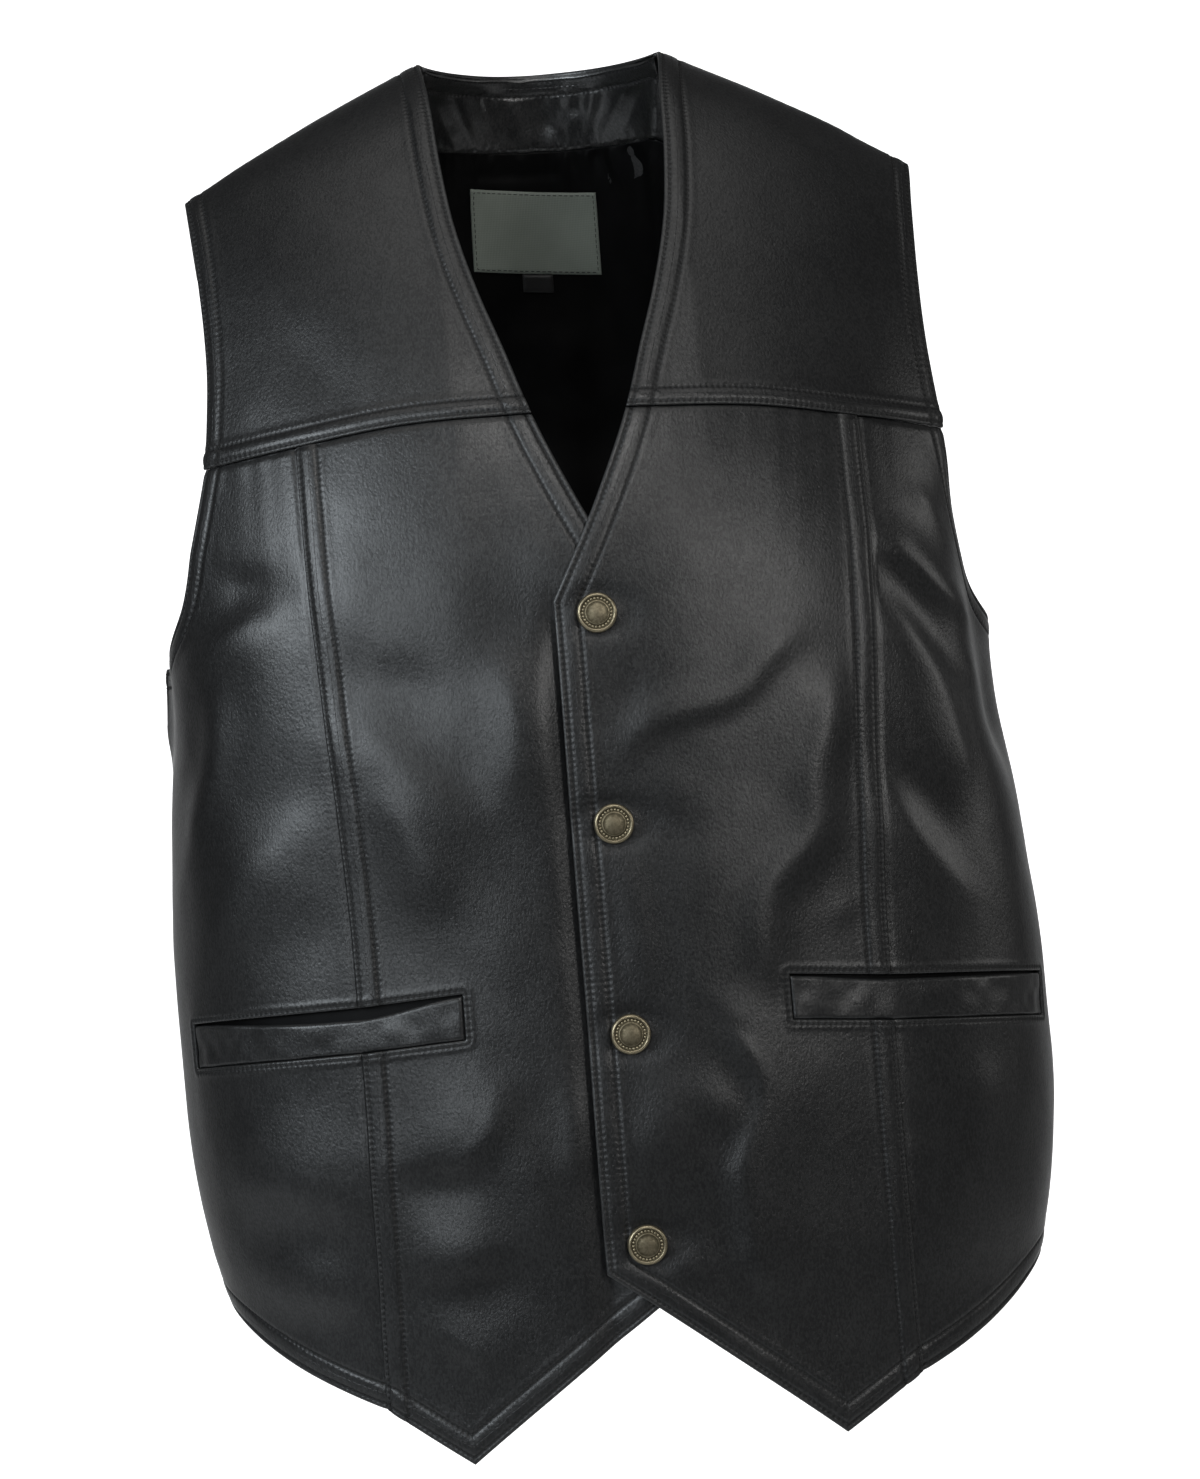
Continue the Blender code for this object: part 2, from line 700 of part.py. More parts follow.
def pocket_bag(side):
    """The cloth behind a pocket, one column of each panel past the window."""
    inner_end, outer_end = -1 - 1 / CENTRE_CELLS, 1 + 1 / SIDE_CELLS
    columns = np.concatenate([[inner_end], pocket_columns(1.0), [outer_end]])
    rows = PANEL_ROWS[(PANEL_ROWS >= BAG_LOW) & (PANEL_ROWS <= BAG_HIGH)]
    return Slab(columns, rows, pocket_place(side), LINING_WALL, -WALL - BAG_ROOM, lifted=side > 0)


def turned_piece(name, profile, size, seat, axis, collection):
    """A round piece of brass from its profile and its size (radius, height), seated along an axis."""
    bm = bmesh.new()
    corners = [bm.verts.new((row.radius * size[0], 0, row.height * size[1])) for row in profile]
    for first, second in zip(corners, corners[1:]):
        bm.edges.new((first, second))
    obj = add_object(name, bm, BRASS, collection)
    screw = obj.modifiers.new("turned", "SCREW")
    screw.axis = "Z"
    screw.steps = ROUND_STEPS
    screw.render_steps = ROUND_STEPS
    screw.use_merge_vertices = True
    screw.merge_threshold = 1e-5
    turn = Vector((0, 0, 1)).rotation_difference(Vector(axis))
    obj.matrix_world = Matrix.Translation(Vector(seat)) @ turn.to_matrix().to_4x4()
    return obj


# Shares of the piece's own radius and height.
ProfileRow = namedtuple("ProfileRow", "radius height")
CAP_PROFILE = (
    ProfileRow(0.00, 0.90),
    ProfileRow(0.35, 0.86),
    ProfileRow(0.62, 0.70),
    ProfileRow(0.68, 0.72),
    ProfileRow(0.80, 1.00),
    ProfileRow(0.92, 0.85),
    ProfileRow(1.00, 0.35),
    ProfileRow(0.97, 0.00),
    ProfileRow(0.00, 0.00),
)
POST_PROFILE = (
    ProfileRow(0.00, 0.45),
    ProfileRow(0.45, 0.55),
    ProfileRow(0.55, 1.00),
    ProfileRow(0.85, 0.95),
    ProfileRow(1.00, 0.40),
    ProfileRow(1.00, 0.00),
    ProfileRow(0.00, 0.00),
)


def snaps(collection):
    centre = np.zeros(1)
    for index in range(SNAP_COUNT):
        z = np.array([SNAP_TOP_Z - index * SNAP_PITCH])
        normal = outward(centre, z)[0]
        seat = cloth(centre, z, np.full(1, SNAP_SEAT), lifted=True)[0]
        size = CAP_RADIUS, CAP_HEIGHT
        turned_piece(f"snap_cap_{index + 1}", CAP_PROFILE, size, seat, normal, collection)
        seat = cloth(centre, z, np.full(1, -WALL - SNAP_SEAT))[0]
        size = POST_RADIUS, POST_HEIGHT
        turned_piece(f"snap_post_{index + 1}", POST_PROFILE, size, seat, -normal, collection)


def build():
    for obj in list(bpy.data.objects):
        bpy.data.objects.remove(obj, do_unlink=True)
    collection = bpy.data.collections.new("leather_vest")
    bpy.context.scene.collection.children.link(collection)
    for side, word in ((-1, "right"), (1, "left")):
        sewn_piece(f"front_yoke_{word}", front_yoke(side), LEATHER, collection)
        sewn_piece(f"front_centre_{word}", front_centre(side), LEATHER, collection)
        sewn_piece(f"front_side_{word}", front_side(side), LEATHER, collection)
        sewn_piece(f"pocket_welt_{word}", pocket_welt(side), LEATHER, collection)
        sewn_piece(f"pocket_bag_{word}", pocket_bag(side), SATIN, collection)
    sewn_piece("back", back(), LEATHER, collection)
    sewn_piece("back_neck_facing", back_neck_facing(), LEATHER, collection)
    sewn_piece("back_lining", back_lining(), SATIN, collection)
    label = neck_tape(LABEL_HALF, LABEL_TOP, LABEL_HEIGHT, LABEL_CELLS)
    sewn_piece("label", label, LABEL_CLOTH, collection)
    tab = neck_tape(TAB_HALF, LABEL_TOP - LABEL_HEIGHT - SEAM_GAP, TAB_HEIGHT, TAB_CELLS)
    sewn_piece("size_tab", tab, TAB_CLOTH, collection)
    snaps(collection)


build()
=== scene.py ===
"""Looks of the leather vest: fine leather shells on its form, thread, lining, label, snaps and stage."""

import math
from collections import namedtuple

import bpy
import numpy as np
from bpy.props import FloatProperty, FloatVectorProperty, IntProperty, PointerProperty
from mathutils import Matrix, Vector, kdtree


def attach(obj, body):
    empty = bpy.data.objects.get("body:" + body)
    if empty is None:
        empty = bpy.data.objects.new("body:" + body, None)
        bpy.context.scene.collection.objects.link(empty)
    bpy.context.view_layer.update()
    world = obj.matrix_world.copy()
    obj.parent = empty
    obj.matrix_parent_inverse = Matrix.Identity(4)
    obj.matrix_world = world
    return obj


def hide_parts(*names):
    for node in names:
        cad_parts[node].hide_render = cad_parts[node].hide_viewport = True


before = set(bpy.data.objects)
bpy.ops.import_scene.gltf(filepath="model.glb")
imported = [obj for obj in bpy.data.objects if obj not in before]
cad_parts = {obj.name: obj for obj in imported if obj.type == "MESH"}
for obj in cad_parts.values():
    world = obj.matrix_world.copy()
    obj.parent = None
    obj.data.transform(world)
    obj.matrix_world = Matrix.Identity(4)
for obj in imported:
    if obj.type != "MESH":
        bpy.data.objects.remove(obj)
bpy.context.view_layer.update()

bl_info = {
    "name": "Leather vest",
    "version": (1, 0, 0),
    "blender": (4, 5, 0),
    "location": "View3D > Sidebar > Vest",
    "description": "Makes the leather, thread, lining and snaps of a vest on its solids",
    "category": "Object",
}

BODY = "root"

# Cloth
WALL = 0.0020
FACING_WALL = 0.0012
LINING_WALL = 0.0010
LABEL_WALL = 0.0010
SEAM_GAP = 0.0003
SHOULDER_GAP = 0.0008

# Form
NECK_HALF = 0.0556
NECK_BACK = 0.058
NECK_ROUND = 0.75
SHOULDER_SLOPE = math.radians(27.5)
SHOULDER_REACH = 0.25
SHOULDER_ROUND = 0.6
SHOULDER_CROWN = 0.0022
SHOULDER_TIP_X = 0.1687
SQUARENESS = 2.5
LEAN = 0.0195
MEAN_RADIUS = 0.165

# Closure
OVERLAP = 0.0185
LIFT = 0.0027
LIFT_NEAR = 0.024
LIFT_FAR = 0.075
LIFT_TOP = -0.13
LIFT_FULL = -0.20
BREAK_Z = -0.257
GAP_DEPTH = 0.0026
GAP_REACH = 0.0075

# Seams and hem
SIDE_ANGLE = 93.0
SIDE_TOP_Z = -0.274
SIDE_HEM_Z = -0.561
BACK_HEM_Z = -0.566
HEM_POINT_X = 0.083
UNDERARM_SAG = 0.012
BACK_INNER_ANGLE = 158.0
BACK_SAG = 0.030

# Pockets
POCKET_INNER_X = 0.072
POCKET_OUTER_ANGLE = 68.0
POCKET_INNER_Z = -0.4265
POCKET_OUTER_Z = -0.4360
POCKET_SEAM_Z = -0.4302
POCKET_HEIGHT = 0.0205
MOUTH_ENDS = 0.0012
MOUTH_MIDDLE = {-1: 0.0055, 1: 0.0022}
WELT_REACH = 0.99
BAG_INNER = -1.125
BAG_OUTER = 1.25
BAG_LOW = 0.286
BAG_HIGH = 2.11
BAG_ROOM = 0.0009

# Inside the back neck
FACING_HEIGHT = 0.034
FACING_LOW_X = 0.066
FACING_TIP_X = 0.1665
TAPE_CENTRE_X = -0.0040
TAPE_TILT = 0.07
LABEL_HALF = 0.0317
LABEL_TOP = -0.0525
LABEL_HEIGHT = 0.0385
TAB_HALF = 0.0075
TAB_HEIGHT = 0.0085
TAPE_ROOM = 0.0005

# Snaps
SNAP_TOP_Z = -0.263
SNAP_PITCH = 0.0927
SNAP_COUNT = 4
CAP_RADIUS = 0.0089
CAP_HEIGHT = 0.0034
POST_RADIUS = 0.0060
POST_HEIGHT = 0.0016
SNAP_SEAT = 0.0004
FRONT_RADIUS = 0.121
DENT_DEPTH = 0.0007  # the leather pressed in round a snap
DENT_RING = 0.0085
DENT_REACH = 0.0045

Section = namedtuple("Section", "z half_width front_depth back_depth")
SECTIONS = (
    Section(0.000, 0.1870, 0.098, 0.092),
    Section(-0.060, 0.1870, 0.104, 0.100),
    Section(-0.120, 0.1870, 0.111, 0.107),
    Section(-0.180, 0.1885, 0.117, 0.111),
    Section(-0.240, 0.1900, 0.121, 0.110),
    Section(-0.290, 0.1920, 0.122, 0.106),
    Section(-0.350, 0.1975, 0.121, 0.102),
    Section(-0.400, 0.2010, 0.120, 0.101),
    Section(-0.450, 0.2010, 0.120, 0.104),
    Section(-0.500, 0.1995, 0.120, 0.109),
    Section(-0.540, 0.1940, 0.119, 0.110),
    Section(-0.570, 0.1870, 0.118, 0.108),
    Section(-0.640, 0.1780, 0.116, 0.105),
)

Hem = namedtuple("Hem", "corner_z point_z seam_z pocket_z")
HEMS = {
    -1: Hem(-0.5590, -0.6345, -0.6090, -0.5755),
    1: Hem(-0.5535, -0.6312, -0.6080, -0.5715),
}

EdgeRow = namedtuple("EdgeRow", "z x")
NECK_EDGE = (
    EdgeRow(0.000, 0.0556),
    EdgeRow(-0.020, 0.0532),
    EdgeRow(-0.055, 0.0508),
    EdgeRow(-0.085, 0.0470),
    EdgeRow(-0.117, 0.0390),
    EdgeRow(-0.143, 0.0304),
    EdgeRow(-0.173, 0.0208),
    EdgeRow(-0.213, 0.0037),
    EdgeRow(-0.257, -0.0185),
)
PANEL_SEAM = (
    EdgeRow(-0.180, 0.1260),
    EdgeRow(-0.240, 0.1255),
    EdgeRow(-0.290, 0.1235),
    EdgeRow(-0.345, 0.1205),
    EdgeRow(-0.400, 0.1186),
    EdgeRow(-0.450, 0.1182),
    EdgeRow(-0.510, 0.1185),
    EdgeRow(-0.606, 0.1195),
)

ArmholeRow = namedtuple("ArmholeRow", "angle z")
ARMHOLE_YOKE = (
    ArmholeRow(55.3, -0.1470),
    ArmholeRow(55.7, -0.1120),
    ArmholeRow(57.0, -0.0800),
)
ARMHOLE_SIDE = (
    ArmholeRow(83.0, -0.2725),
    ArmholeRow(73.5, -0.2650),
    ArmholeRow(66.0, -0.2500),
    ArmholeRow(61.2, -0.2220),
)
ARMHOLE_BACK = (
    ArmholeRow(104.0, -0.2720),
    ArmholeRow(113.0, -0.2600),
    ArmholeRow(119.5, -0.2350),
    ArmholeRow(123.5, -0.1900),
    ArmholeRow(124.5, -0.1400),
    ArmholeRow(123.3, -0.0950),
)

YokeRow = namedtuple("YokeRow", "x z")
YOKE_SEAM = (
    YokeRow(0.0208, -0.1728),
    YokeRow(0.0800, -0.1745),
    YokeRow(0.1260, -0.1805),
    YokeRow(0.1676, -0.1865),
)

# Large folds of the sides and back, each a ridge (height above 0) or a trough from a to b. Angles are in
# degrees.
Fold = namedtuple("Fold", "angle_a z_a angle_b z_b width height")
FOLDS = (
    Fold(-67, -0.225, -70, -0.265, 0.028, 0.0040),
    Fold(-97, -0.266, -95, -0.300, 0.016, 0.0040),
    Fold(66, -0.225, 70, -0.310, 0.030, -0.0085),
    Fold(72, -0.330, 74, -0.380, 0.030, -0.0025),
    Fold(88, -0.290, 90, -0.430, 0.032, -0.0040),
    Fold(116, -0.300, 146, -0.385, 0.020, 0.0040),
    Fold(-118, -0.310, -150, -0.400, 0.020, 0.0040),
    Fold(166, -0.400, 170, -0.530, 0.022, 0.0030),
    Fold(-158, -0.430, -164, -0.540, 0.022, 0.0030),
)

# Creases through places (angle in degrees, z) that fade at both ends. left and right are the reach of the
# flanks on the left and right hand, going from the first place to the last.
Crease = namedtuple("Crease", "height left right places")
CREASE_BEADS = 41
CREASE_TAPER = 0.024  # length over which a crease fades at each end
LONGEST_TAPER = 0.42  # and the most of its length that this may be
CREASE_MARGIN = 2.6  # how far a crease is felt, for the reach of its wider flank
CREASES = (
    # right front, centre
    Crease(0.0031, 0.0140, 0.0160, (
        (-35, -0.299), (-32, -0.313), (-29, -0.323), (-26, -0.334),
        (-23, -0.344), (-20.5, -0.355), (-19, -0.367),
    )),
    Crease(0.0026, 0.0150, 0.0105, (
        (-12.5, -0.272), (-11.5, -0.285), (-11, -0.299),
        (-11.5, -0.319), (-12, -0.338), (-13, -0.356),
    )),
    Crease(0.0024, 0.0100, 0.0140, (
        (-31.5, -0.329), (-28, -0.346), (-25.5, -0.362),
        (-23, -0.379), (-21, -0.396),
    )),
    Crease(0.0018, 0.0160, 0.0125, ((-34, -0.223), (-33.5, -0.246), (-33, -0.268), (-32.5, -0.280))),
    Crease(-0.0023, 0.0150, 0.0150, ((-31, -0.286), (-25, -0.290), (-18, -0.293))),
    Crease(-0.0015, 0.0150, 0.0175, ((-14.5, -0.210), (-11.5, -0.242), (-10, -0.273), (-8.5, -0.308))),
    Crease(0.0011, 0.0150, 0.0150, ((-18.5, -0.388), (-15, -0.402), (-13, -0.424))),
    Crease(0.0026, 0.0100, 0.0180, (
        (-17.5, -0.457), (-18, -0.474), (-20, -0.490), (-23.5, -0.499), (-28, -0.502),
    )),
    Crease(-0.0012, 0.0100, 0.0100, ((-31.5, -0.514), (-25, -0.511), (-20, -0.509))),
    Crease(0.0026, 0.0140, 0.0120, ((-31.5, -0.534), (-27, -0.545), (-22, -0.539), (-18.5, -0.527))),
    Crease(-0.0014, 0.0120, 0.0140, ((-25, -0.555), (-20, -0.557), (-14, -0.554))),
    Crease(0.0018, 0.0160, 0.0090, ((-31, -0.566), (-27, -0.575), (-23, -0.586), (-19, -0.599))),
    Crease(0.0011, 0.0100, 0.0100, ((-16, -0.479), (-15, -0.501), (-13, -0.526), (-11.5, -0.546))),
    Crease(0.0013, 0.0100, 0.0080, ((-8, -0.463), (-7, -0.481), (-7.5, -0.498), (-9, -0.518))),
    # right front, side
    Crease(-0.0027, 0.0110, 0.0130, ((-56.5, -0.238), (-50, -0.243), (-44, -0.242), (-41, -0.240))),
    Crease(0.0023, 0.0100, 0.0140, ((-67, -0.276), (-57, -0.270), (-48.5, -0.260), (-43, -0.250))),
    Crease(0.0019, 0.0110, 0.0120, (
        (-57.5, -0.277), (-57, -0.304), (-58, -0.326),
        (-64, -0.346), (-67, -0.362),
    )),
    Crease(-0.0013, 0.0225, 0.0225, ((-51, -0.309), (-46, -0.336), (-49, -0.358))),
    Crease(0.0016, 0.0180, 0.0140, (
        (-38, -0.342), (-45, -0.361), (-50.5, -0.374),
        (-59, -0.396), (-63, -0.407),
    )),
    Crease(-0.0011, 0.0150, 0.0150, ((-44, -0.410), (-39.5, -0.399), (-34.5, -0.391))),
    Crease(0.0022, 0.0240, 0.0170, ((-59, -0.500), (-50.5, -0.504), (-43, -0.506), (-35, -0.505))),
    Crease(-0.0014, 0.0150, 0.0150, ((-63, -0.527), (-48.5, -0.531), (-36.5, -0.529))),
    Crease(0.0020, 0.0160, 0.0120, ((-57.5, -0.553), (-46, -0.556), (-37.5, -0.554))),
    Crease(-0.0012, 0.0110, 0.0110, ((-54, -0.568), (-45, -0.572), (-38.5, -0.571))),
    # left front, centre
    Crease(0.0009, 0.0160, 0.0125, ((15, -0.245), (17, -0.240), (20, -0.236), (24, -0.241), (27, -0.254))),
    Crease(0.0015, 0.0075, 0.0100, (
        (29, -0.271), (25, -0.277), (21, -0.288), (19, -0.298), (15, -0.305),
        (10, -0.307), (5, -0.312), (2, -0.323), (0, -0.336),
    )),
    Crease(-0.0005, 0.0080, 0.0080, (
        (26.5, -0.284), (23, -0.292), (20, -0.303), (15.5, -0.310), (10, -0.311),
    )),
    Crease(0.0020, 0.0220, 0.0350, ((27, -0.280), (24, -0.340), (15.5, -0.400), (15.5, -0.470))),
    Crease(0.0019, 0.0095, 0.0078, (
        (31.5, -0.288), (30.5, -0.303), (29, -0.320), (27, -0.333), (26, -0.349), (26, -0.360),
        (24, -0.371), (20, -0.382), (18, -0.393), (17.5, -0.407), (18, -0.422), (18, -0.436),
    )),
    Crease(0.0007, 0.0080, 0.0080, ((6, -0.336), (8, -0.343), (9, -0.350))),
    Crease(-0.0011, 0.0125, 0.0125, ((5, -0.353), (8, -0.360), (11.5, -0.365))),
    Crease(-0.0006, 0.0075, 0.0075, ((4, -0.280), (3, -0.302), (2, -0.321), (0, -0.334))),
    Crease(0.0009, 0.0070, 0.0080, ((0, -0.363), (1, -0.379), (1.5, -0.396), (2, -0.416), (2.5, -0.436))),
    Crease(0.0006, 0.0175, 0.0100, ((12, -0.348), (12, -0.370), (11, -0.394))),
    Crease(0.0006, 0.0060, 0.0060, ((30, -0.393), (28, -0.400), (26, -0.407))),
    Crease(0.0034, 0.0210, 0.0078, (
        (11, -0.441), (14.5, -0.455), (16.5, -0.471), (17, -0.482), (15, -0.498),
        (13.5, -0.510), (14, -0.532), (15, -0.552), (16.5, -0.572),
    )),
    Crease(0.0018, 0.0110, 0.0110, ((3, -0.459), (4, -0.472), (4, -0.485), (2.5, -0.500), (0, -0.513))),
    Crease(0.0016, 0.0100, 0.0090, ((8, -0.464), (10, -0.480), (13, -0.498))),
    Crease(-0.0018, 0.0180, 0.0180, ((1, -0.526), (5, -0.534), (9.5, -0.538))),
    Crease(0.0010, 0.0080, 0.0080, ((5.5, -0.541), (5, -0.550), (3.5, -0.558))),
    # left front, side
    Crease(0.0028, 0.0110, 0.0075, (
        (38, -0.226), (41, -0.235), (44, -0.243),
        (48.5, -0.255), (55, -0.266), (63.5, -0.280),
    )),
    Crease(-0.0020, 0.0100, 0.0100, (
        (39.5, -0.240), (43, -0.260), (48, -0.278),
        (53.5, -0.294), (59, -0.311),
    )),
    Crease(0.0026, 0.0090, 0.0150, (
        (39, -0.257), (40.5, -0.270), (43, -0.283), (46, -0.297),
        (48, -0.317), (49, -0.335), (51, -0.356),
    )),
    Crease(0.0011, 0.0090, 0.0110, ((38, -0.289), (41, -0.305), (43, -0.325), (44.5, -0.350))),
    Crease(0.0022, 0.0090, 0.0175, (
        (36, -0.337), (36.5, -0.353), (38, -0.365),
        (41, -0.377), (45, -0.393), (50.5, -0.410),
    )),
    Crease(-0.0015, 0.0125, 0.0125, ((39, -0.336), (42.5, -0.355), (47, -0.378))),
    Crease(0.0009, 0.0060, 0.0060, ((45.5, -0.214), (49.5, -0.220), (53.5, -0.234))),
    Crease(0.0006, 0.0060, 0.0075, ((34, -0.503), (37, -0.510), (39, -0.516))),
    Crease(0.0011, 0.0100, 0.0100, ((47, -0.472), (48, -0.486), (49.5, -0.500))),
    Crease(-0.0013, 0.0175, 0.0175, ((35, -0.489), (39.5, -0.496), (44.5, -0.503))),
    # yokes
    Crease(-0.0011, 0.0130, 0.0150, ((-40, -0.126), (-36, -0.144), (-32, -0.163))),
    Crease(-0.0010, 0.0080, 0.0080, ((30.5, -0.028), (36, -0.038), (42, -0.054))),
    Crease(0.0009, 0.0070, 0.0070, ((35, -0.023), (41, -0.034), (47, -0.047))),
    # back
    Crease(0.0017, 0.0125, 0.0175, ((112, -0.296), (128, -0.345), (147, -0.392))),
    Crease(-0.0013, 0.0125, 0.0125, ((110, -0.320), (124, -0.372), (139, -0.420))),
    Crease(0.0017, 0.0175, 0.0110, ((-114, -0.304), (-130, -0.352), (-151, -0.404))),
    Crease(-0.0013, 0.0125, 0.0125, ((-112, -0.334), (-126, -0.384), (-141, -0.430))),
    Crease(0.0015, 0.0110, 0.0175, ((168, -0.398), (172, -0.460), (169, -0.532))),
    Crease(0.0015, 0.0150, 0.0100, ((-160, -0.428), (-166, -0.480), (-163, -0.545))),
    Crease(-0.0011, 0.0150, 0.0125, ((152, -0.180), (172, -0.196), (196, -0.186))),
    Crease(0.0012, 0.0150, 0.0100, ((140, -0.452), (151, -0.476), (164, -0.482))),
    Crease(-0.0011, 0.0125, 0.0125, ((-138, -0.470), (-149, -0.492), (-160, -0.494))),
    Crease(0.0009, 0.0100, 0.0100, ((130, -0.250), (141, -0.266), (151, -0.290))),
    Crease(0.0010, 0.0100, 0.0110, ((-129, -0.242), (-139, -0.262), (-152, -0.276))),
)

# How a sewn edge shapes the leather beside it. near and far are its rows of thread.
# The last field lightens the leather beside the edge with the worn colour, partly rubbed wear and partly a
# painted highlight; it also rounds the edge.
Style = namedtuple("Style", "near far lift groove puff pucker pitch fade sink sink_reach wear")
STYLES = {
    "turned": Style(0.0024, 0.0106, 0.0002, 0.00050, 0.00025, 0.00013, 0.0029, 0.0016, 0.0, 0.001, 1.0),
    "armhole": Style(0.0022, 0.0088, 0.0002, 0.00045, 0.00025, 0.00015, 0.0029, 0.0016, 0.0, 0.001, 1.0),
    "lap": Style(0.0016, 0.0102, 0.0009, 0.00055, 0.00022, 0.00014, 0.0029, 0.0016, 0.0, 0.001, 0.8),
    "yoke_lap": Style(0.0016, 0.0080, 0.0011, 0.00045, 0.00025, 0.00015, 0.0029, 0.0016, 0.0, 0.001, 0.8),
    "frame": Style(0.0017, 0.0, 0.0005, 0.00055, 0.0, 0.00022, 0.0036, 0.0060, 0.0, 0.001, 0.6),
    "under": Style(0.0, 0.0, 0.0, 0.0, 0.0, 0.00007, 0.0032, 0.0045, 0.0005, 0.003, 0.0),
    "under_yoke": Style(0.0, 0.0, 0.0, 0.0, 0.0, 0.00022, 0.0120, 0.0300, 0.0006, 0.003, 0.0),
    "seam": Style(0.0, 0.0, 0.0, 0.0, 0.0, 0.00014, 0.0060, 0.0060, 0.0006, 0.002, 0.0),
    "tape": Style(0.0013, 0.0, 0.0, 0.00016, 0.0, 0.00010, 0.0040, 0.0020, 0.0002, 0.001, 0.6),
    "bare": Style(0.0, 0.0, 0.0, 0.0, 0.0, 0.0, 0.0050, 0.0050, 0.0003, 0.001, 0.5),
}
THREADED = ("turned", "armhole", "lap", "yoke_lap", "frame", "tape")
ROW_GROOVE = 0.0007  # half width of the groove along a row of thread
LIFT_FADE = 0.004  # how far past its rows a lapped edge still stands up
SWELL_AWAY = 0.0024  # where the leather swells past the far row
SWELL_REACH = 0.0017
EDGE_ROUND = 0.0005  # how far a turned edge drops
LEAST_NEAR = 0.0005
PUCKER_REACH = 0.0017
# Reach of the worn colour beside an edge, partly rubbed wear and partly a painted highlight.
WEAR_AND_SHEEN_REACH = 0.0011
# The painted shade along each row of thread reaches this far.
SEWN_SHADE_HALF = 0.0011  # half width of the dark line along a row
PULL_HALF = 0.0022  # half width of the pull of each stitch
FAR_FROM_ROWS = 0.02  # stands for no row near

# Uneven hills over a surface, a cell apart
Hills = namedtuple("Hills", "height cell seed")
LEATHER_HILLS = (Hills(0.0004, 0.034, 3), Hills(0.00009, 0.013, 5))
WELT_HILLS = (Hills(0.0006, 0.016, 37), Hills(0.0003, 0.007, 39))
FACING_HILLS = (Hills(0.0005, 0.007, 11),)
LINING_HILLS = (Hills(0.0005, 0.022, 23),)
LABEL_HILLS = (Hills(0.0004, 0.016, 29),)
HILL_KNOTS = 211
WAVE_KNOTS = 997

# Fine cells
CELL = 0.0019
CELL_SEWN = 0.0008
CELL_TIP = 0.0003
TIP_REACH = 0.0016
SEWN_REACH = 0.0135
GRADE_REACH = 0.010
ROW_CELL = 0.00092
INNER_STEP = 6  # the hidden face of a shell has one cell for this many
LINED_STEP = 2  # and the hidden face of a lining one for this many
EDGE_SAMPLES = 700

Rim = namedtuple("Rim", "out deep")
RIM = (Rim(0.00008, 0.0002), Rim(0.00012, 0.0007), Rim(0.00008, 0.0013), Rim(-0.0001, 0.0017))
RIM_MARKS = {"wear": 0.5, "row_away": 1.0, "row_along": 1.0}  # share of each mark on the rim


def smooth(value, low, high):
    """0 at low, 1 at high, with a soft start and end."""
    share = np.clip((value - low) / (high - low), 0, 1)
    return share * share * (3 - 2 * share)


def through(at, knots, values):
    """A smooth curve through the values at the knots, which run either way."""
    order = np.argsort(knots)
    knots = np.asarray(knots, float)[order]
    values = np.asarray(values, float)[order]
    slopes = np.gradient(values, knots)
    at = np.clip(at, knots[0], knots[-1])
    low = np.clip(np.searchsorted(knots, at) - 1, 0, len(knots) - 2)
    span = knots[low + 1] - knots[low]
    t = (at - knots[low]) / span
    return (
        values[low] * (1 + 2 * t) * (1 - t) ** 2
        + values[low + 1] * t * t * (3 - 2 * t)
        + span * slopes[low] * t * (1 - t) ** 2
        + span * slopes[low + 1] * t * t * (t - 1)
    )


def column(rows, name):
    return [getattr(row, name) for row in rows]


def section(z, name):
    return through(z, column(SECTIONS, "z"), column(SECTIONS, name))


def edge_x(rows, z):
    return through(z, column(rows, "z"), column(rows, "x"))


def ridge_z(x):
    """Height of the shoulder seam, and of the neck edge between the seams."""
    past = np.maximum(np.abs(x) - NECK_HALF, 0)
    share = np.minimum(past / (SHOULDER_TIP_X - NECK_HALF), 1)
    return SHOULDER_CROWN * np.sin(math.pi * share) - past * math.tan(SHOULDER_SLOPE)


def ring(angle, z):
    """The body's outline at height z, before the shoulders close it."""
    sine, cosine = np.sin(angle), np.cos(angle)
    reach = (np.abs(sine) ** SQUARENESS + np.abs(cosine) ** SQUARENESS) ** (-1 / SQUARENESS)
    depth = np.where(cosine > 0, section(z, "front_depth"), section(z, "back_depth"))
    return section(z, "half_width") * sine * reach, -depth * cosine * reach


def front_angle(x, z):
    """The angle of the point of the front that is x from the centre plane."""
    share = np.minimum(np.abs(x) / section(z, "half_width"), 0.9999)
    return np.sign(x) * np.arctan2(share, (1 - share**SQUARENESS) ** (1 / SQUARENESS))


def skin(angle, z):
    """The plain form, with no folds: points with the last axis x, y, z."""
    x, y = ring(angle, z)
    behind = np.cos(angle) < 0
    inside = np.maximum(1 - (x / NECK_HALF) ** 2, 0)
    neck = np.where(behind, NECK_BACK * inside**NECK_ROUND, 0)
    drop = np.clip((ridge_z(x) - z) / SHOULDER_REACH, 0, 1)
    closing = (1 - (1 - drop) ** 2) ** SHOULDER_ROUND
    side = np.where(behind, 1, -1) * SHOULDER_GAP / 2
    return np.stack([x - LEAN * z, neck + (y - neck) * closing + side, z + 0 * x], -1)


def outward(angle, z):
    """The direction out of the cloth."""
    step = 1e-4
    x = ring(angle, z)[0]
    beyond = ring(angle + step, z)[0]
    before = ring(angle - step, z)[0]
    along = skin(angle + step, z + ridge_z(beyond) - ridge_z(x))
    along = along - skin(angle - step, z + ridge_z(before) - ridge_z(x))
    up = skin(angle, z) - skin(angle, z - step)
    normal = np.cross(along, up)
    return normal / np.linalg.norm(normal, axis=-1, keepdims=True)


def wrapped(angle):
    return (angle + math.pi) % (2 * math.pi) - math.pi


def line_distance(place, start, end):
    """Distance from places to a straight stretch, and the share of the way along it."""
    along = end - start
    share = np.clip((place - start) @ along / (along @ along), 0, 1)
    return np.linalg.norm(place - start - share[..., None] * along, axis=-1), share


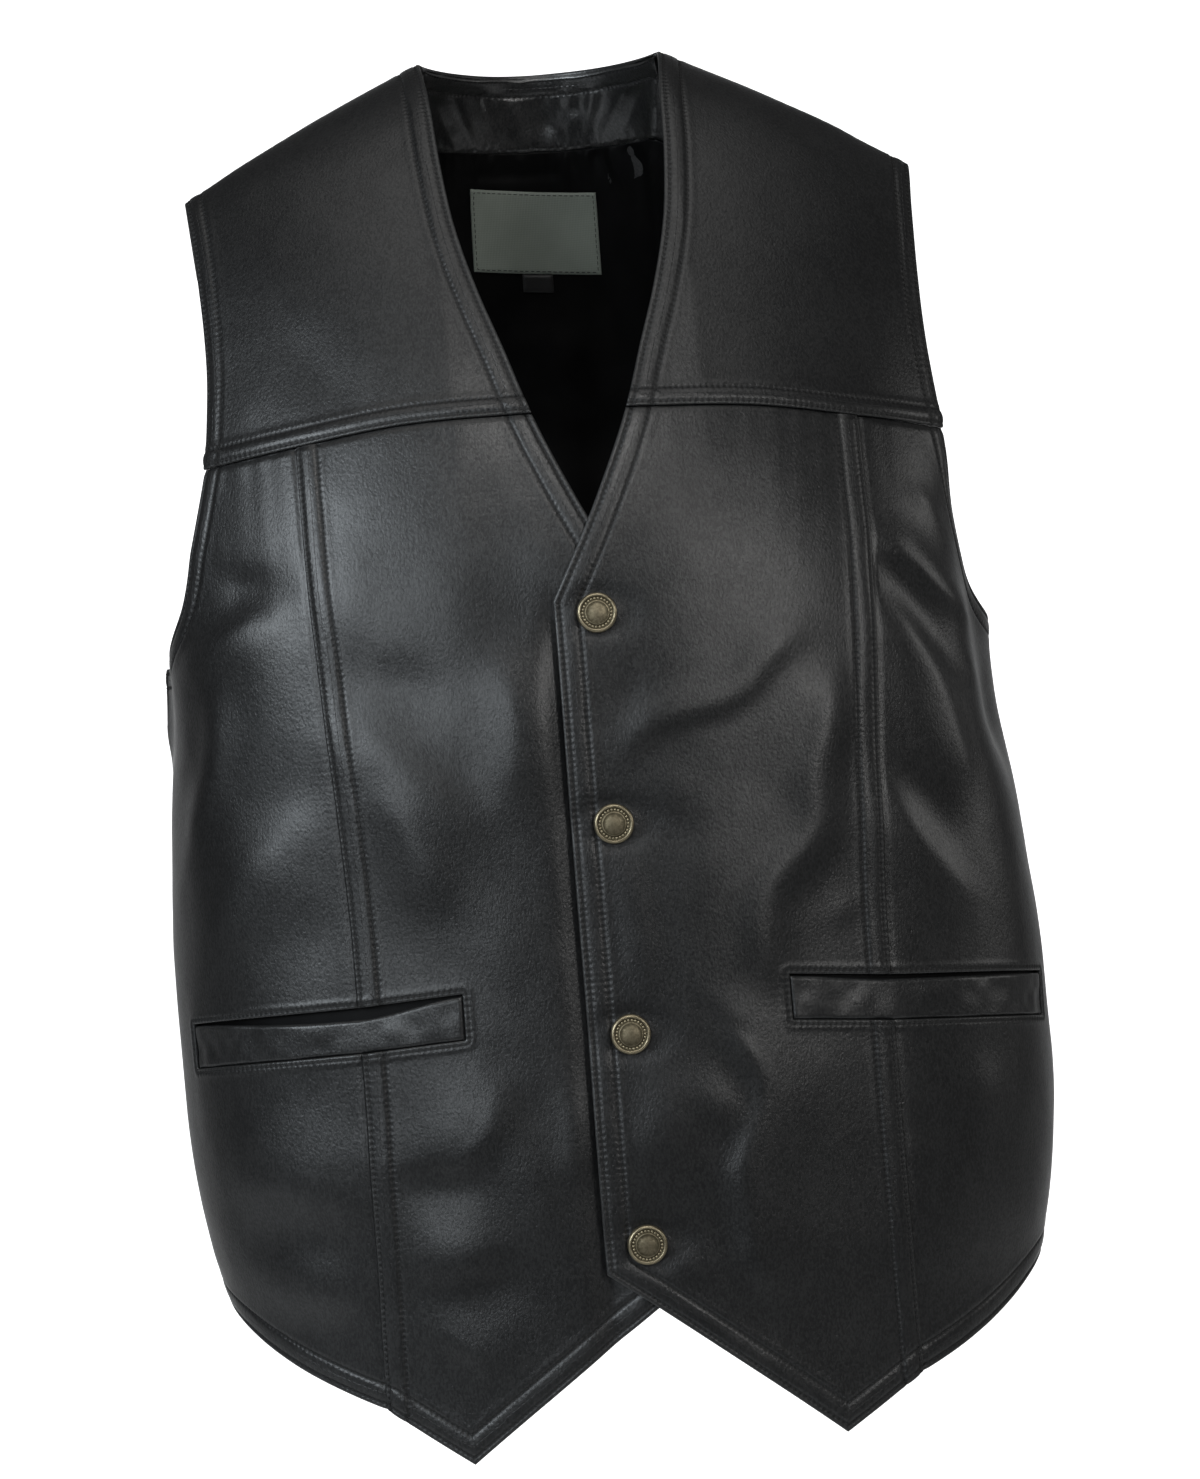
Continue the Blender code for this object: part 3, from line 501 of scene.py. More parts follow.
def fold_height(angle, z):
    total = np.zeros(np.shape(angle))
    for fold in FOLDS:
        turn = wrapped(angle - math.radians(fold.angle_a))
        place = np.stack([turn * MEAN_RADIUS, z - fold.z_a], -1)
        sweep = math.radians(fold.angle_b - fold.angle_a) * MEAN_RADIUS
        away, _ = line_distance(place, np.zeros(2), np.array([sweep, fold.z_b - fold.z_a]))
        total = total + fold.height * np.exp(-((away / fold.width) ** 2))
    return total


def crease_height(angle, z):
    """Ridges and troughs along curves. Each flank has its own reach."""
    total = np.zeros(np.shape(angle))
    along = np.linspace(0, 1, CREASE_BEADS)
    for crease in CREASES:
        middle = crease.places[len(crease.places) // 2][0]
        line = curve_through([(math.radians(a - middle), up) for a, up in crease.places])
        beads = line(along) * (MEAN_RADIUS, 1)
        turn = wrapped(angle - math.radians(middle)) * MEAN_RADIUS
        margin = CREASE_MARGIN * max(crease.left, crease.right)
        low, high = beads.min(0) - margin, beads.max(0) + margin
        near = (turn > low[0]) & (turn < high[0]) & (z > low[1]) & (z < high[1])
        if not near.any():
            continue
        ahead = np.gradient(beads, axis=0)
        step = np.hypot(*ahead.T)
        taper = min(LONGEST_TAPER, CREASE_TAPER / step.sum())
        weight = step * smooth(along, 0, taper) * (1 - smooth(along, 1 - taper, 1))
        offset = np.stack([turn[near], z[near]], -1)[:, None] - beads[None]
        square = (offset ** 2).sum(-1)
        nearest = square.argmin(1)
        beside = offset[np.arange(len(offset)), nearest]
        heading = (ahead / step[:, None])[nearest]
        aside = heading[:, 0] * beside[:, 1] - heading[:, 1] * beside[:, 0]
        blend = 0.5 * min(crease.left, crease.right)
        share = smooth(aside, -blend, blend)
        left, right = (
            (np.exp(-square / reach ** 2) * weight).sum(1) / (reach * math.sqrt(math.pi))
            for reach in (crease.left, crease.right)
        )
        total[near] += crease.height * (share * left + (1 - share) * right)
    return total


def closure_lift(angle, z):
    x = ring(angle, z)[0]
    near = 1 - smooth(x, LIFT_NEAR, LIFT_FAR)
    low = 1 - smooth(z, LIFT_FULL, LIFT_TOP)
    return LIFT * near * low


def waver(at, pitch, seed, alternating=False):
    """An uneven wave along a line, between -1 and 1, with a knot at each pitch."""
    count = WAVE_KNOTS
    knots = np.random.default_rng(seed).uniform(-1, 1, count)
    if alternating:
        knots = (0.35 + 0.65 * np.abs(knots)) * np.where(np.arange(count) % 2, 1, -1)
    place = at / pitch
    low = np.floor(place).astype(int)
    share = smooth(place - low, 0, 1)
    return knots[low % count] * (1 - share) + knots[(low + 1) % count] * share


def mottle(across, up, cell, seed):
    """Uneven hills over a surface, between -1 and 1, a cell apart."""
    count = HILL_KNOTS
    knots = np.random.default_rng(seed).uniform(-1, 1, (count, count))
    u, v = across / cell, up / cell
    low_u, low_v = np.floor(u).astype(int), np.floor(v).astype(int)
    s, t = smooth(u - low_u, 0, 1), smooth(v - low_v, 0, 1)
    total = 0
    for du, share_u in ((0, 1 - s), (1, s)):
        for dv, share_v in ((0, 1 - t), (1, t)):
            total = total + knots[(low_u + du) % count, (low_v + dv) % count] * share_u * share_v
    return total


def hill_height(hills, across, up):
    return sum(hill.height * mottle(across, up, hill.cell, hill.seed) for hill in hills)


def unevenness(angle, z):
    return hill_height(LEATHER_HILLS, angle * MEAN_RADIUS, z)


def curve_through(places):
    """A smooth curve through places (angle, z), for shares 0 to 1 of its length."""
    places = np.asarray(places, float)
    steps = np.linalg.norm(np.diff(places * (MEAN_RADIUS, 1), axis=0), axis=1)
    knots = np.concatenate([[0], np.cumsum(steps)]) / steps.sum()
    return lambda share: np.stack([through(share, knots, places[:, i]) for i in (0, 1)], -1)


def row_line(*places, smooth_bends=False):
    """A line across a piece, through one place for each of its column blocks."""
    places = np.asarray(places, float)
    knots = np.arange(len(places))
    bend = through if smooth_bends else np.interp
    return lambda block: np.stack([bend(block, knots, places[:, i]) for i in (0, 1)], -1)


def front_place(x, z):
    """Angle and z of the front, x from the centre plane."""
    return np.stack(np.broadcast_arrays(front_angle(x, z), z), -1)


def back_place(x, z):
    return np.stack(np.broadcast_arrays(math.pi - front_angle(x, z), z), -1)


def edge_stretch(rows, z_low, z_high, shift=0.0):
    """The stretch of a seam or an edge between two heights, for shares 0 to 1."""

    def place(share):
        z = z_low + (z_high - z_low) * share
        return front_place(edge_x(rows, z) + shift, z)

    return place


def yoke_z(x):
    return through(x, column(YOKE_SEAM, "x"), column(YOKE_SEAM, "z"))


def yoke_line(stops, shift):
    """The yoke seam, moved up or down, with a stop in x for each column block."""

    def place(block):
        x = np.interp(block, np.arange(len(stops)), stops)
        return front_place(x, yoke_z(x) + shift)

    return place


def seam_place(z, shift):
    return front_place(edge_x(PANEL_SEAM, z) + shift, z)


def armhole_places(rows):
    return [(math.radians(row.angle), row.z) for row in rows]


def patch(lines, bands, blocks):
    """Places of a piece. Its rows run between the lines, and each band has its two side edges."""

    def place(columns, rows):
        places = np.zeros((*rows.shape, 2))
        for index, (left, right) in enumerate(bands):
            here = np.clip(rows.astype(int), 0, len(bands) - 1) == index
            share = rows[here] - index
            rise = share[:, None]
            across = (columns[here] / blocks)[:, None]
            low, high = lines[index], lines[index + 1]
            corner_low, corner_high = low(np.array([0.0, blocks])), high(np.array([0.0, blocks]))
            chords = [corner_low[i] + (corner_high[i] - corner_low[i]) * rise for i in (0, 1)]
            flat = low(columns[here]) + (high(columns[here]) - low(columns[here])) * rise
            bulge = (1 - across) * (left(share) - chords[0]) + across * (right(share) - chords[1])
            places[here] = flat + bulge
        return places[..., 0], places[..., 1]

    return place


def mirrored(place, side):
    """The same piece on the wearer's left (side 1) or right (side -1)."""

    def placed(columns, rows):
        angle, z = place(columns, rows)
        return side * angle, z

    return placed


def yoke_map():
    gap = SEAM_GAP / 2
    inner_x, outer_x = YOKE_SEAM[0].x, YOKE_SEAM[-1].x
    seam = yoke_line([inner_x, outer_x], gap)

    def shoulder(block):
        x = np.interp(block, [0, 1], [NECK_HALF, SHOULDER_TIP_X])
        return front_place(x, ridge_z(x))

    armhole = curve_through([seam(1.0), *armhole_places(ARMHOLE_YOKE), shoulder(1.0)])
    neck = edge_stretch(NECK_EDGE, yoke_z(inner_x) + gap, 0.0)
    return patch([seam, shoulder], [(neck, armhole)], 1)


def centre_map(side):
    gap = SEAM_GAP / 2
    inner_low = POCKET_INNER_Z - POCKET_HEIGHT
    seam_x = PANEL_SEAM[0].x - gap
    hem = HEMS[side]
    seam_z = [hem.seam_z, POCKET_SEAM_Z - POCKET_HEIGHT, POCKET_SEAM_Z, BREAK_Z, yoke_z(seam_x) - gap]
    edge_z = [hem.corner_z, inner_low, POCKET_INNER_Z, BREAK_Z, YOKE_SEAM[0].z - gap]
    middle_x = [HEM_POINT_X, POCKET_INNER_X, POCKET_INNER_X, POCKET_INNER_X]
    middle_z = [hem.point_z, inner_low, POCKET_INNER_Z, BREAK_Z]
    lines = []
    for seam_end, x, z, edge_end in zip(seam_z, middle_x, middle_z, edge_z):
        seam_side, edge_side = seam_place(seam_end, -gap), front_place(-OVERLAP, edge_end)
        lines.append(row_line(seam_side, front_place(x, z), edge_side))
    lines.append(yoke_line([seam_x, POCKET_INNER_X, YOKE_SEAM[0].x], -gap))
    bands = []
    for index in range(len(lines) - 1):
        seam = edge_stretch(PANEL_SEAM, seam_z[index], seam_z[index + 1], -gap)
        if edge_z[index] < BREAK_Z:
            ends = [front_place(-OVERLAP, z) for z in edge_z[index : index + 2]]
            bands.append((seam, curve_through(ends)))
        else:
            bands.append((seam, edge_stretch(NECK_EDGE, edge_z[index], edge_z[index + 1])))
    return patch(lines, bands, 2)


def side_map(side):
    gap = SEAM_GAP / 2
    side_angle = math.radians(SIDE_ANGLE) - gap / MEAN_RADIUS
    pocket_angle = math.radians(POCKET_OUTER_ANGLE)
    outer_low = POCKET_OUTER_Z - POCKET_HEIGHT
    underarm_z = SIDE_TOP_Z - UNDERARM_SAG
    hem = HEMS[side]
    seam_z = [hem.seam_z, POCKET_SEAM_Z - POCKET_HEIGHT, POCKET_SEAM_Z, underarm_z]
    middle_z = [hem.pocket_z, outer_low, POCKET_OUTER_Z, SIDE_TOP_Z - UNDERARM_SAG / 2]
    side_z = [SIDE_HEM_Z, outer_low, POCKET_OUTER_Z, SIDE_TOP_Z]
    lines = []
    for seam_end, z, side_end in zip(seam_z, middle_z, side_z):
        places = seam_place(seam_end, gap), (pocket_angle, z), (side_angle, side_end)
        lines.append(row_line(*places, smooth_bends=not lines))
    seam_x, corner_x = PANEL_SEAM[0].x + gap, YOKE_SEAM[-1].x
    lines.append(yoke_line([seam_x, (seam_x + corner_x) / 2, corner_x], -gap))
    seam_z.append(yoke_z(seam_x) - gap)
    bands = []
    for index in range(len(lines) - 1):
        seam = edge_stretch(PANEL_SEAM, seam_z[index], seam_z[index + 1], gap)
        ends = [lines[index](2.0), lines[index + 1](2.0)]
        inner = armhole_places(ARMHOLE_SIDE) if index == len(lines) - 2 else []
        bands.append((seam, curve_through([ends[0], *inner, ends[1]])))
    return patch(lines, bands, 2)


def around(angle):
    """The same angle on the other side of centre back."""
    return 2 * math.pi - angle


def both_ways(places):
    """A side edge of the back, and its mirror image."""
    return curve_through(places), curve_through([(around(angle), z) for angle, z in places])


def back_line(side_place, inner_place, centre_dip=0.0):
    """A line across the back, of three column blocks, with a dip at centre back."""
    (side_angle, side_z), (inner_angle, inner_z) = side_place, inner_place
    across = row_line(
        (side_angle, side_z),
        (inner_angle, inner_z),
        (around(inner_angle), inner_z),
        (around(side_angle), side_z),
    )

    def place(block):
        places = across(block)
        share = (places[..., 0] - math.pi) / (side_angle - math.pi)
        places[..., 1] -= centre_dip * (1 - share**2)
        return places

    return place


def neck_line(stops, drop):
    """The shoulder and neck edges of the back, lowered by a drop, with a stop in x for each block."""

    def place(block):
        x = np.interp(block, np.arange(len(stops)), stops)
        return back_place(x, ridge_z(x) - drop)

    return place


def back_map():
    """Places of the back. Its rows run from the hem past the underarm and the facing to the top."""
    side_angle = math.radians(SIDE_ANGLE) + SEAM_GAP / 2 / MEAN_RADIUS
    inner = math.radians(BACK_INNER_ANGLE)
    hem = back_line((side_angle, SIDE_HEM_Z), (inner, SIDE_HEM_Z), SIDE_HEM_Z - BACK_HEM_Z)
    chest = back_line((side_angle, SIDE_TOP_Z), (inner, SIDE_TOP_Z - BACK_SAG))
    yoke = neck_line([FACING_TIP_X, FACING_LOW_X, -FACING_LOW_X, -FACING_TIP_X], FACING_HEIGHT)
    top = neck_line([SHOULDER_TIP_X, NECK_HALF, -NECK_HALF, -SHOULDER_TIP_X], 0.0)
    places = armhole_places(ARMHOLE_BACK)
    bands = [
        both_ways([hem(0.0), chest(0.0)]),
        both_ways([chest(0.0), *places, yoke(0.0)]),
        both_ways([yoke(0.0), top(0.0)]),
    ]
    return patch([hem, chest, yoke, top], bands, 3)


def pocket_map(side):
    """Places across the pocket: columns below 0 on the centre panel, above 0 on the side panel."""
    centre, outer = mirrored(centre_map(side), side), mirrored(side_map(side), side)

    def place(columns, rows):
        on_side = columns > 0
        centre_angle, centre_z = centre(np.abs(columns), rows)
        outer_angle, outer_z = outer(np.abs(columns), rows)
        return np.where(on_side, outer_angle, centre_angle), np.where(on_side, outer_z, centre_z)

    return place


def welt_map(side):
    inside = pocket_map(side)

    def place(columns, rows):
        gape = np.cos(math.pi / 2 * columns) ** 2
        mouth = (MOUTH_ENDS + (MOUTH_MIDDLE[side] - MOUTH_ENDS) * gape) / POCKET_HEIGHT
        low = SEAM_GAP / POCKET_HEIGHT
        return inside(columns, 1 + low + (1 - low - mouth) * rows)

    return place


def tape_map(half_width, top_z, height):
    """Places of a tape inside the back neck."""

    def place(columns, rows):
        across = half_width * (1 - 2 * columns)
        places = back_place(TAPE_CENTRE_X + across, top_z - height * (1 - rows) - TAPE_TILT * across)
        return places[..., 0], places[..., 1]

    return place


Zone = namedtuple("Zone", "at reach tip")


def stations(lengths, zones, coarse, start=0.0):
    """Block coordinates of fine columns or rows: blocks of these lengths, with small cells in the zones."""

    def step_at(at):
        step = coarse
        for zone in zones:
            away = abs(at - zone.at)
            fine = CELL_SEWN
            if zone.tip:
                fine = CELL_TIP + (CELL_SEWN - CELL_TIP) * smooth(away, 0, TIP_REACH)
            grown = smooth(away, zone.reach, zone.reach + GRADE_REACH)
            step = min(step, fine + max(coarse - fine, 0) * grown)
        return step

    parts = []
    begin = 0.0
    for index, length in enumerate(lengths):
        at = [0.0]
        while at[-1] < length:
            at.append(at[-1] + step_at(begin + at[-1] + 1e-6))
        at = np.array(at)
        if at[-1] - length > length - at[-2] and len(at) > 2:
            at = at[:-1]
        parts.append(start + index + at[:-1] / at[-1])
        begin += length
    return np.concatenate([*parts, [start + len(lengths)]])


Edge = namedtuple("Edge", "style path")
Panel = namedtuple(
    "Panel",
    "name node slot place columns rows edges wall out lifted inward window relief",
    defaults=(WALL, 0.0, False, False, None, None),
)
FineGrid = namedtuple("FineGrid", "points normals cells fields")


def edge_polyline(panel, path):
    """Points of the plain form along an edge of a panel, close together."""
    columns, rows = [], []
    for (column_a, row_a), (column_b, row_b) in zip(path, path[1:]):
        share = np.linspace(0, 1, EDGE_SAMPLES)
        columns.append(column_a + (column_b - column_a) * share)
        rows.append(row_a + (row_b - row_a) * share)
    angle, z = panel.place(np.concatenate(columns), np.concatenate(rows))
    return skin(angle, z)


def distance_to(points, line):
    """Distance of points from a line, and the length along the line at the nearest place."""
    tree = kdtree.KDTree(len(line))
    for index, point in enumerate(line):
        tree.insert(point, index)
    tree.balance()
    nearest = np.array([tree.find(point)[1] for point in points])
    steps = np.linalg.norm(np.diff(line, axis=0), axis=1)
    lengths = np.concatenate([[0], np.cumsum(steps)])
    best = np.full(len(points), np.inf)
    along = np.zeros(len(points))
    for offset in (-1, 0):
        low = np.clip(nearest + offset, 0, len(line) - 2)
        start, leg = line[low], line[low + 1] - line[low]
        square = np.maximum((leg * leg).sum(-1), 1e-16)
        share = np.clip(((points - start) * leg).sum(-1) / square, 0, 1)
        away = np.linalg.norm(points - start - share[:, None] * leg, axis=-1)
        closer = away < best
        best = np.where(closer, away, best)
        along = np.where(closer, lengths[low] + share * steps[low], along)
    return best, along


def sewn_relief(style, away, along, seed, sizes):
    """Height of the leather beside a sewn edge."""
    far = max(style.far, style.near)
    relief = style.lift * (1 - smooth(away, far * 0.5, far + LIFT_FADE))
    relief = relief - style.sink * (1 - smooth(away, 0, style.sink_reach))
    if style.far:
        strip = np.clip((away - style.near) / (style.far - style.near), 0, 1)
        relief = relief + style.puff * sizes.puff * np.sin(math.pi * strip) ** 1.2
        beside = np.exp(-(((away - style.far - SWELL_AWAY) / SWELL_REACH) ** 2))
        relief = relief + 0.5 * style.puff * sizes.puff * beside
    for row in (style.near, style.far):
        if row:
            depth = style.groove * sizes.groove * (0.8 + 0.2 * waver(along, 0.012, seed + 7))
            relief = relief - depth * np.exp(-(((away - row) / ROW_GROOVE) ** 2))
    fold_round = np.clip(1 - away / TIP_REACH, 0, 1)
    if style.wear:
        relief = relief - EDGE_ROUND * fold_round**2.2
    past = np.maximum(away - far, 0)
    reach = smooth(away, 0, max(style.near, LEAST_NEAR)) * np.exp(-past / style.fade)
    rows = [np.exp(-(((away - row) / PUCKER_REACH) ** 2)) for row in (style.near, style.far) if row]
    if rows:
        reach = reach * (0.2 + 0.8 * np.max(rows, axis=0))
    swell = 0.55 + 0.45 * waver(along, 0.026, seed + 1)
    shifted = along + 0.0006 * waver(along, 0.011, seed + 3)
    wave = waver(shifted, style.pitch / 2, seed + 2, alternating=True)
    return relief + style.pucker * sizes.pucker * reach * swell * wave


def grid_normals(points, direction):
    across = np.gradient(points, axis=1)
    up = np.gradient(points, axis=0)
    normals = np.cross(across, up)
    normals /= np.maximum(np.linalg.norm(normals, axis=-1, keepdims=True), 1e-12)
    return normals * np.sign((normals * direction).sum(-1, keepdims=True))


def boundary_loops(faces):
    """Loops of vertices round the open edges of faces, in the direction of the faces."""
    starts = faces.ravel()
    ends = np.roll(faces, -1, axis=1).ravel()
    there = set(zip(starts.tolist(), ends.tolist()))
    following = {a: b for a, b in there if (b, a) not in there}
    loops = []
    while following:
        first = min(following)
        loop = [first]
        at = following.pop(first)
        while at != first:
            loop.append(at)
            at = following.pop(at)
        loops.append(loop)
    return loops


def coarse_steps(stops, step):
    """Indices of a few of the stops, with every block's ends."""
    whole = np.isclose(stops, np.rint(stops)) | np.isin(np.arange(len(stops)), (0, len(stops) - 1))
    keep = []
    since = 0
    for index, is_end in enumerate(whole):
        since += 1
        if is_end or since >= step:
            keep.append(index)
            since = 0
    return np.array(keep)


def sewn_marks(panel, flat, shape, sizes):
    """Relief and marks beside a panel's sewn edges, and the fields that its rows of thread follow."""
    relief, wear, row_along = (np.zeros(len(flat)) for _ in range(3))
    row_away = np.full(len(flat), FAR_FROM_ROWS)
    fields = []
    for index, edge in enumerate(panel.edges):
        style = STYLES[edge.style]
        away, along = distance_to(flat, edge_polyline(panel, edge.path))
        seed = 100 + 17 * index + 31 * (sum(map(ord, panel.name)) % 97)
        relief = relief + sewn_relief(style, away, along, seed, sizes)
        # The worn colour beside the edge: rubbed wear and a painted highlight.
        wear = np.maximum(wear, style.wear * np.exp(-away / WEAR_AND_SHEEN_REACH))
        if edge.style not in THREADED:
            continue
        fields.append((style, away.reshape(shape)))
        for row in filter(None, (style.near, style.far)):
            closer = np.abs(away - row) < np.abs(row_away)
            row_away = np.where(closer, away - row, row_away)
            row_along = np.where(closer, along, row_along)
    return relief.reshape(shape), {"wear": wear, "row_away": row_away, "row_along": row_along}, fields


def cell_faces(index, cells):
    """Faces of a grid of vertices, for the cells that are kept."""
    corners = (index[:-1, :-1], index[:-1, 1:], index[1:, 1:], index[1:, :-1])
    return np.stack([corner[cells] for corner in corners], -1)


def rim_rings(wall, here, up):
    """Rings of points that round a shell's edge, from its fine face towards its hidden face."""
    along = np.roll(here, -1, axis=0) - np.roll(here, 1, axis=0)
    along /= np.maximum(np.linalg.norm(along, axis=1, keepdims=True), 1e-12)
    aside = np.cross(along, up)
    scale = wall / WALL
    return [here + aside * rim.out * scale - up * rim.deep * scale for rim in RIM]


def cloth_shell(panel, sizes):
    """Makes a panel's shell: a fine outer face, a rounded rim and a plain hidden face."""
    columns, rows = np.meshgrid(panel.columns, panel.rows)
    angle, z = panel.place(columns, rows)
    base = skin(angle, z)
    facing = outward(angle, z) * (-1 if panel.inward else 1)
    relief, marks, fields = sewn_marks(panel, base.reshape(-1, 3), angle.shape, sizes)
    form = fold_height(angle, z) + crease_height(angle, z)
    if panel.lifted:
        form = form + closure_lift(angle, z)
    fine = 0 if panel.inward else unevenness(angle, z)
    if panel.inward:
        depth = -panel.out - form + panel.wall + relief
    else:
        depth = panel.out + form + fine + relief
    if panel.relief:
        depth = depth + panel.relief(angle, z)
    points = base + facing * depth[..., None]
    flat_points, flat_facing = points.reshape(-1, 3), facing.reshape(-1, 3)
    cells = np.ones((len(panel.rows) - 1, len(panel.columns) - 1), bool)
    if panel.window:
        cells = ~panel.window(columns[:-1, :-1], rows[:-1, :-1])
    faces = cell_faces(np.arange(angle.size).reshape(angle.shape), cells)
    first, second, third = (flat_points[faces[:, k]] for k in (0, 1, 2))
    tilt = (np.cross(second - first, third - first) * flat_facing[faces[:, 0]]).sum(-1)
    turned = tilt.mean() < 0
    if turned:
        faces = faces[:, ::-1]
    step = LINED_STEP if panel.inward else INNER_STEP
    inner_rows, inner_columns = coarse_steps(panel.rows, step), coarse_steps(panel.columns, step)
    inner = np.ix_(inner_rows, inner_columns)
    inner_depth = depth - relief - fine - panel.wall
    inner_points = (base + facing * inner_depth[..., None])[inner]
    inner_count = inner_points[..., 0].size
    inner_at = np.full(angle.shape, -1)
    inner_at[inner] = angle.size + np.arange(inner_count).reshape(inner_points.shape[:2])
    inner_faces = cell_faces(inner_at[inner], cells[np.ix_(inner_rows[:-1], inner_columns[:-1])])
    if not turned:
        inner_faces = inner_faces[:, ::-1]
    all_points = [flat_points, inner_points.reshape(-1, 3)]
    all_marks = {name: [values, np.zeros(inner_count)] for name, values in marks.items()}
    all_marks["row_away"][1] += FAR_FROM_ROWS
    polygons = [*faces.tolist(), *inner_faces.tolist()]
    total = angle.size + inner_count
    flat_inner = inner_at.ravel()
    for loop in boundary_loops(faces):
        ring_at = np.array(loop)
        before = ring_at
        for ring_points in rim_rings(panel.wall, flat_points[ring_at], flat_facing[ring_at]):
            all_points.append(ring_points)
            for name, values in marks.items():
                all_marks[name].append(values[ring_at] * RIM_MARKS[name])
            after = total + np.arange(len(loop))
            total += len(loop)
            quads = np.stack([np.roll(before, -1), before, after, np.roll(after, -1)], -1)
            polygons.extend(quads.tolist())
            before = after
        joins = [k for k in range(len(loop)) if flat_inner[loop[k]] >= 0]
        for start, end in zip(joins, [*joins[1:], joins[0] + len(loop)]):
            span = [int(before[k % len(loop)]) for k in range(start, end + 1)]
            inner_pair = [int(flat_inner[loop[start]]), int(flat_inner[loop[end % len(loop)]])]
            polygons.append([*span[::-1], *inner_pair])
    all_marks = {name: np.concatenate(parts) for name, parts in all_marks.items()}
    obj = add_mesh(panel.name, np.concatenate(all_points), polygons, all_marks)
    return obj, FineGrid(points, grid_normals(points, facing), cells, fields), flat_cut(base, cells)


def flat_cut(base, cells):
    """Width, length and area of a panel laid flat."""
    across = np.linalg.norm(np.diff(base, axis=1), axis=-1).sum(1).max()
    up = np.linalg.norm(np.diff(base, axis=0), axis=-1).sum(0).max()
    first = np.cross(base[1:, 1:] - base[:-1, :-1], base[1:, :-1] - base[:-1, 1:])
    area = (np.linalg.norm(first, axis=-1) / 2)[cells].sum()
    return across, up, area


def add_mesh(name, points, polygons, marks=None):
    """A smooth mesh piece at the origin, without its unused points."""
    used = np.zeros(len(points), bool)
    used[np.fromiter((k for face in polygons for k in face), int)] = True
    fresh = np.cumsum(used) - 1
    mesh = bpy.data.meshes.new(name)
    mesh.from_pydata(points[used].tolist(), [], [[int(fresh[k]) for k in face] for face in polygons])
    for mark, values in (marks or {}).items():
        layer = mesh.attributes.new(mark, "FLOAT", "POINT")
        layer.data.foreach_set("value", values[used].astype(np.float32))
    mesh.update()
    mesh.shade_smooth()
    obj = bpy.data.objects.new(name, mesh)
    bpy.context.scene.collection.objects.link(obj)
    return obj


FINE = {}


def contour(grid, field, level):
    """Lines on a grid where a field has a level, each as points and normals."""
    above = field > level
    mixed = above[:-1, :-1] + 0 + above[:-1, 1:] + above[1:, 1:] + above[1:, :-1]
    links = {}
    for row, col in zip(*np.nonzero(grid.cells & (mixed > 0) & (mixed < 4))):
        corners = ((row, col), (row, col + 1), (row + 1, col + 1), (row + 1, col))
        ends = []
        for k in range(4):
            a, b = corners[k], corners[(k + 1) % 4]
            if above[a] != above[b]:
                ends.append((min(a, b), max(a, b)))
        if len(ends) == 2:
            links.setdefault(ends[0], []).append(ends[1])
            links.setdefault(ends[1], []).append(ends[0])
    lines = []
    while links:
        first = min(links, key=lambda crossing: (len(links[crossing]), crossing))
        line = [first]
        at = first
        while True:
            onward = [crossing for crossing in links.pop(at) if crossing in links]
            if not onward:
                break
            at = onward[0]
            line.append(at)
        if len(line) > 3:
            lines.append(line)
    made = []
    for line in lines:
        a = tuple(np.array([crossing[0] for crossing in line]).T)
        b = tuple(np.array([crossing[1] for crossing in line]).T)
        share = ((level - field[a]) / (field[b] - field[a]))[:, None]
        points = grid.points[a] * (1 - share) + grid.points[b] * share
        normals = grid.normals[a] * (1 - share) + grid.normals[b] * share
        made.append((points, normals))
    return made


def sewn_thread(name, lines, sizes, seed):
    """Stitches along lines, each a short thread whose ends dip into the leather."""
    rng = np.random.default_rng(seed)
    dips = np.array([-1.3, 0.35, 0.35, -1.3]) * sizes.thread
    shares = np.array([-0.5, -0.26, 0.26, 0.5]) * sizes.stitch_length
    sides = 4
    turns = np.arange(sides) * 2 * math.pi / sides + math.pi / 4
    vertices, polygons = [], []
    total = 0
    for points, normals in lines:
        steps = np.linalg.norm(np.diff(points, axis=0), axis=1)
        lengths = np.concatenate([[0], np.cumsum(steps)])
        count = int(lengths[-1] / sizes.stitch_pitch)
        if count < 1:
            continue
        pitch = lengths[-1] / count
        middles = (np.arange(count) + 0.5) * pitch
        middles = middles + rng.uniform(-0.05, 0.05, count) * pitch
        at = middles[:, None] + shares[None] * rng.uniform(0.92, 1.05, (count, 1))
        place = np.stack([np.interp(at, lengths, points[:, i]) for i in range(3)], -1)
        up = np.stack([np.interp(at, lengths, normals[:, i]) for i in range(3)], -1)
        up /= np.linalg.norm(up, axis=-1, keepdims=True)
        along = np.repeat((place[:, -1] - place[:, 0])[:, None], len(shares), 1)
        aside = np.cross(along, up)
        aside /= np.maximum(np.linalg.norm(aside, axis=-1, keepdims=True), 1e-12)
        place = place + up * dips[None, :, None]
        place = place + aside * (rng.uniform(-0.3, 0.3, (count, 1, 1)) * sizes.thread)
        around_it = np.cos(turns)[:, None] * up[:, :, None] + np.sin(turns)[:, None] * aside[:, :, None]
        rings = place[:, :, None] + around_it * sizes.thread
        vertices.append(rings.reshape(-1, 3))
        index = total + np.arange(count * len(shares) * sides).reshape(count, len(shares), sides)
        total = index.max() + 1
        low, high = index[:, :-1], index[:, 1:]
        quads = np.stack([low, np.roll(low, -1, -1), np.roll(high, -1, -1), high], -1)
        polygons.extend(quads.reshape(-1, 4).tolist())
        for end, order in ((index[:, 0], slice(None, None, -1)), (index[:, -1], slice(None))):
            polygons.extend(end[:, order].tolist())
    return add_mesh(name, np.concatenate(vertices), polygons)


class Wire:
    """One value of a finish. A sum on it adds its node."""

    def __init__(self, finish, socket):
        self.finish = finish
        self.socket = socket

    def math(self, operation, first, second):
        return self.finish.node("ShaderNodeMath", {"operation": operation}, {0: first, 1: second})


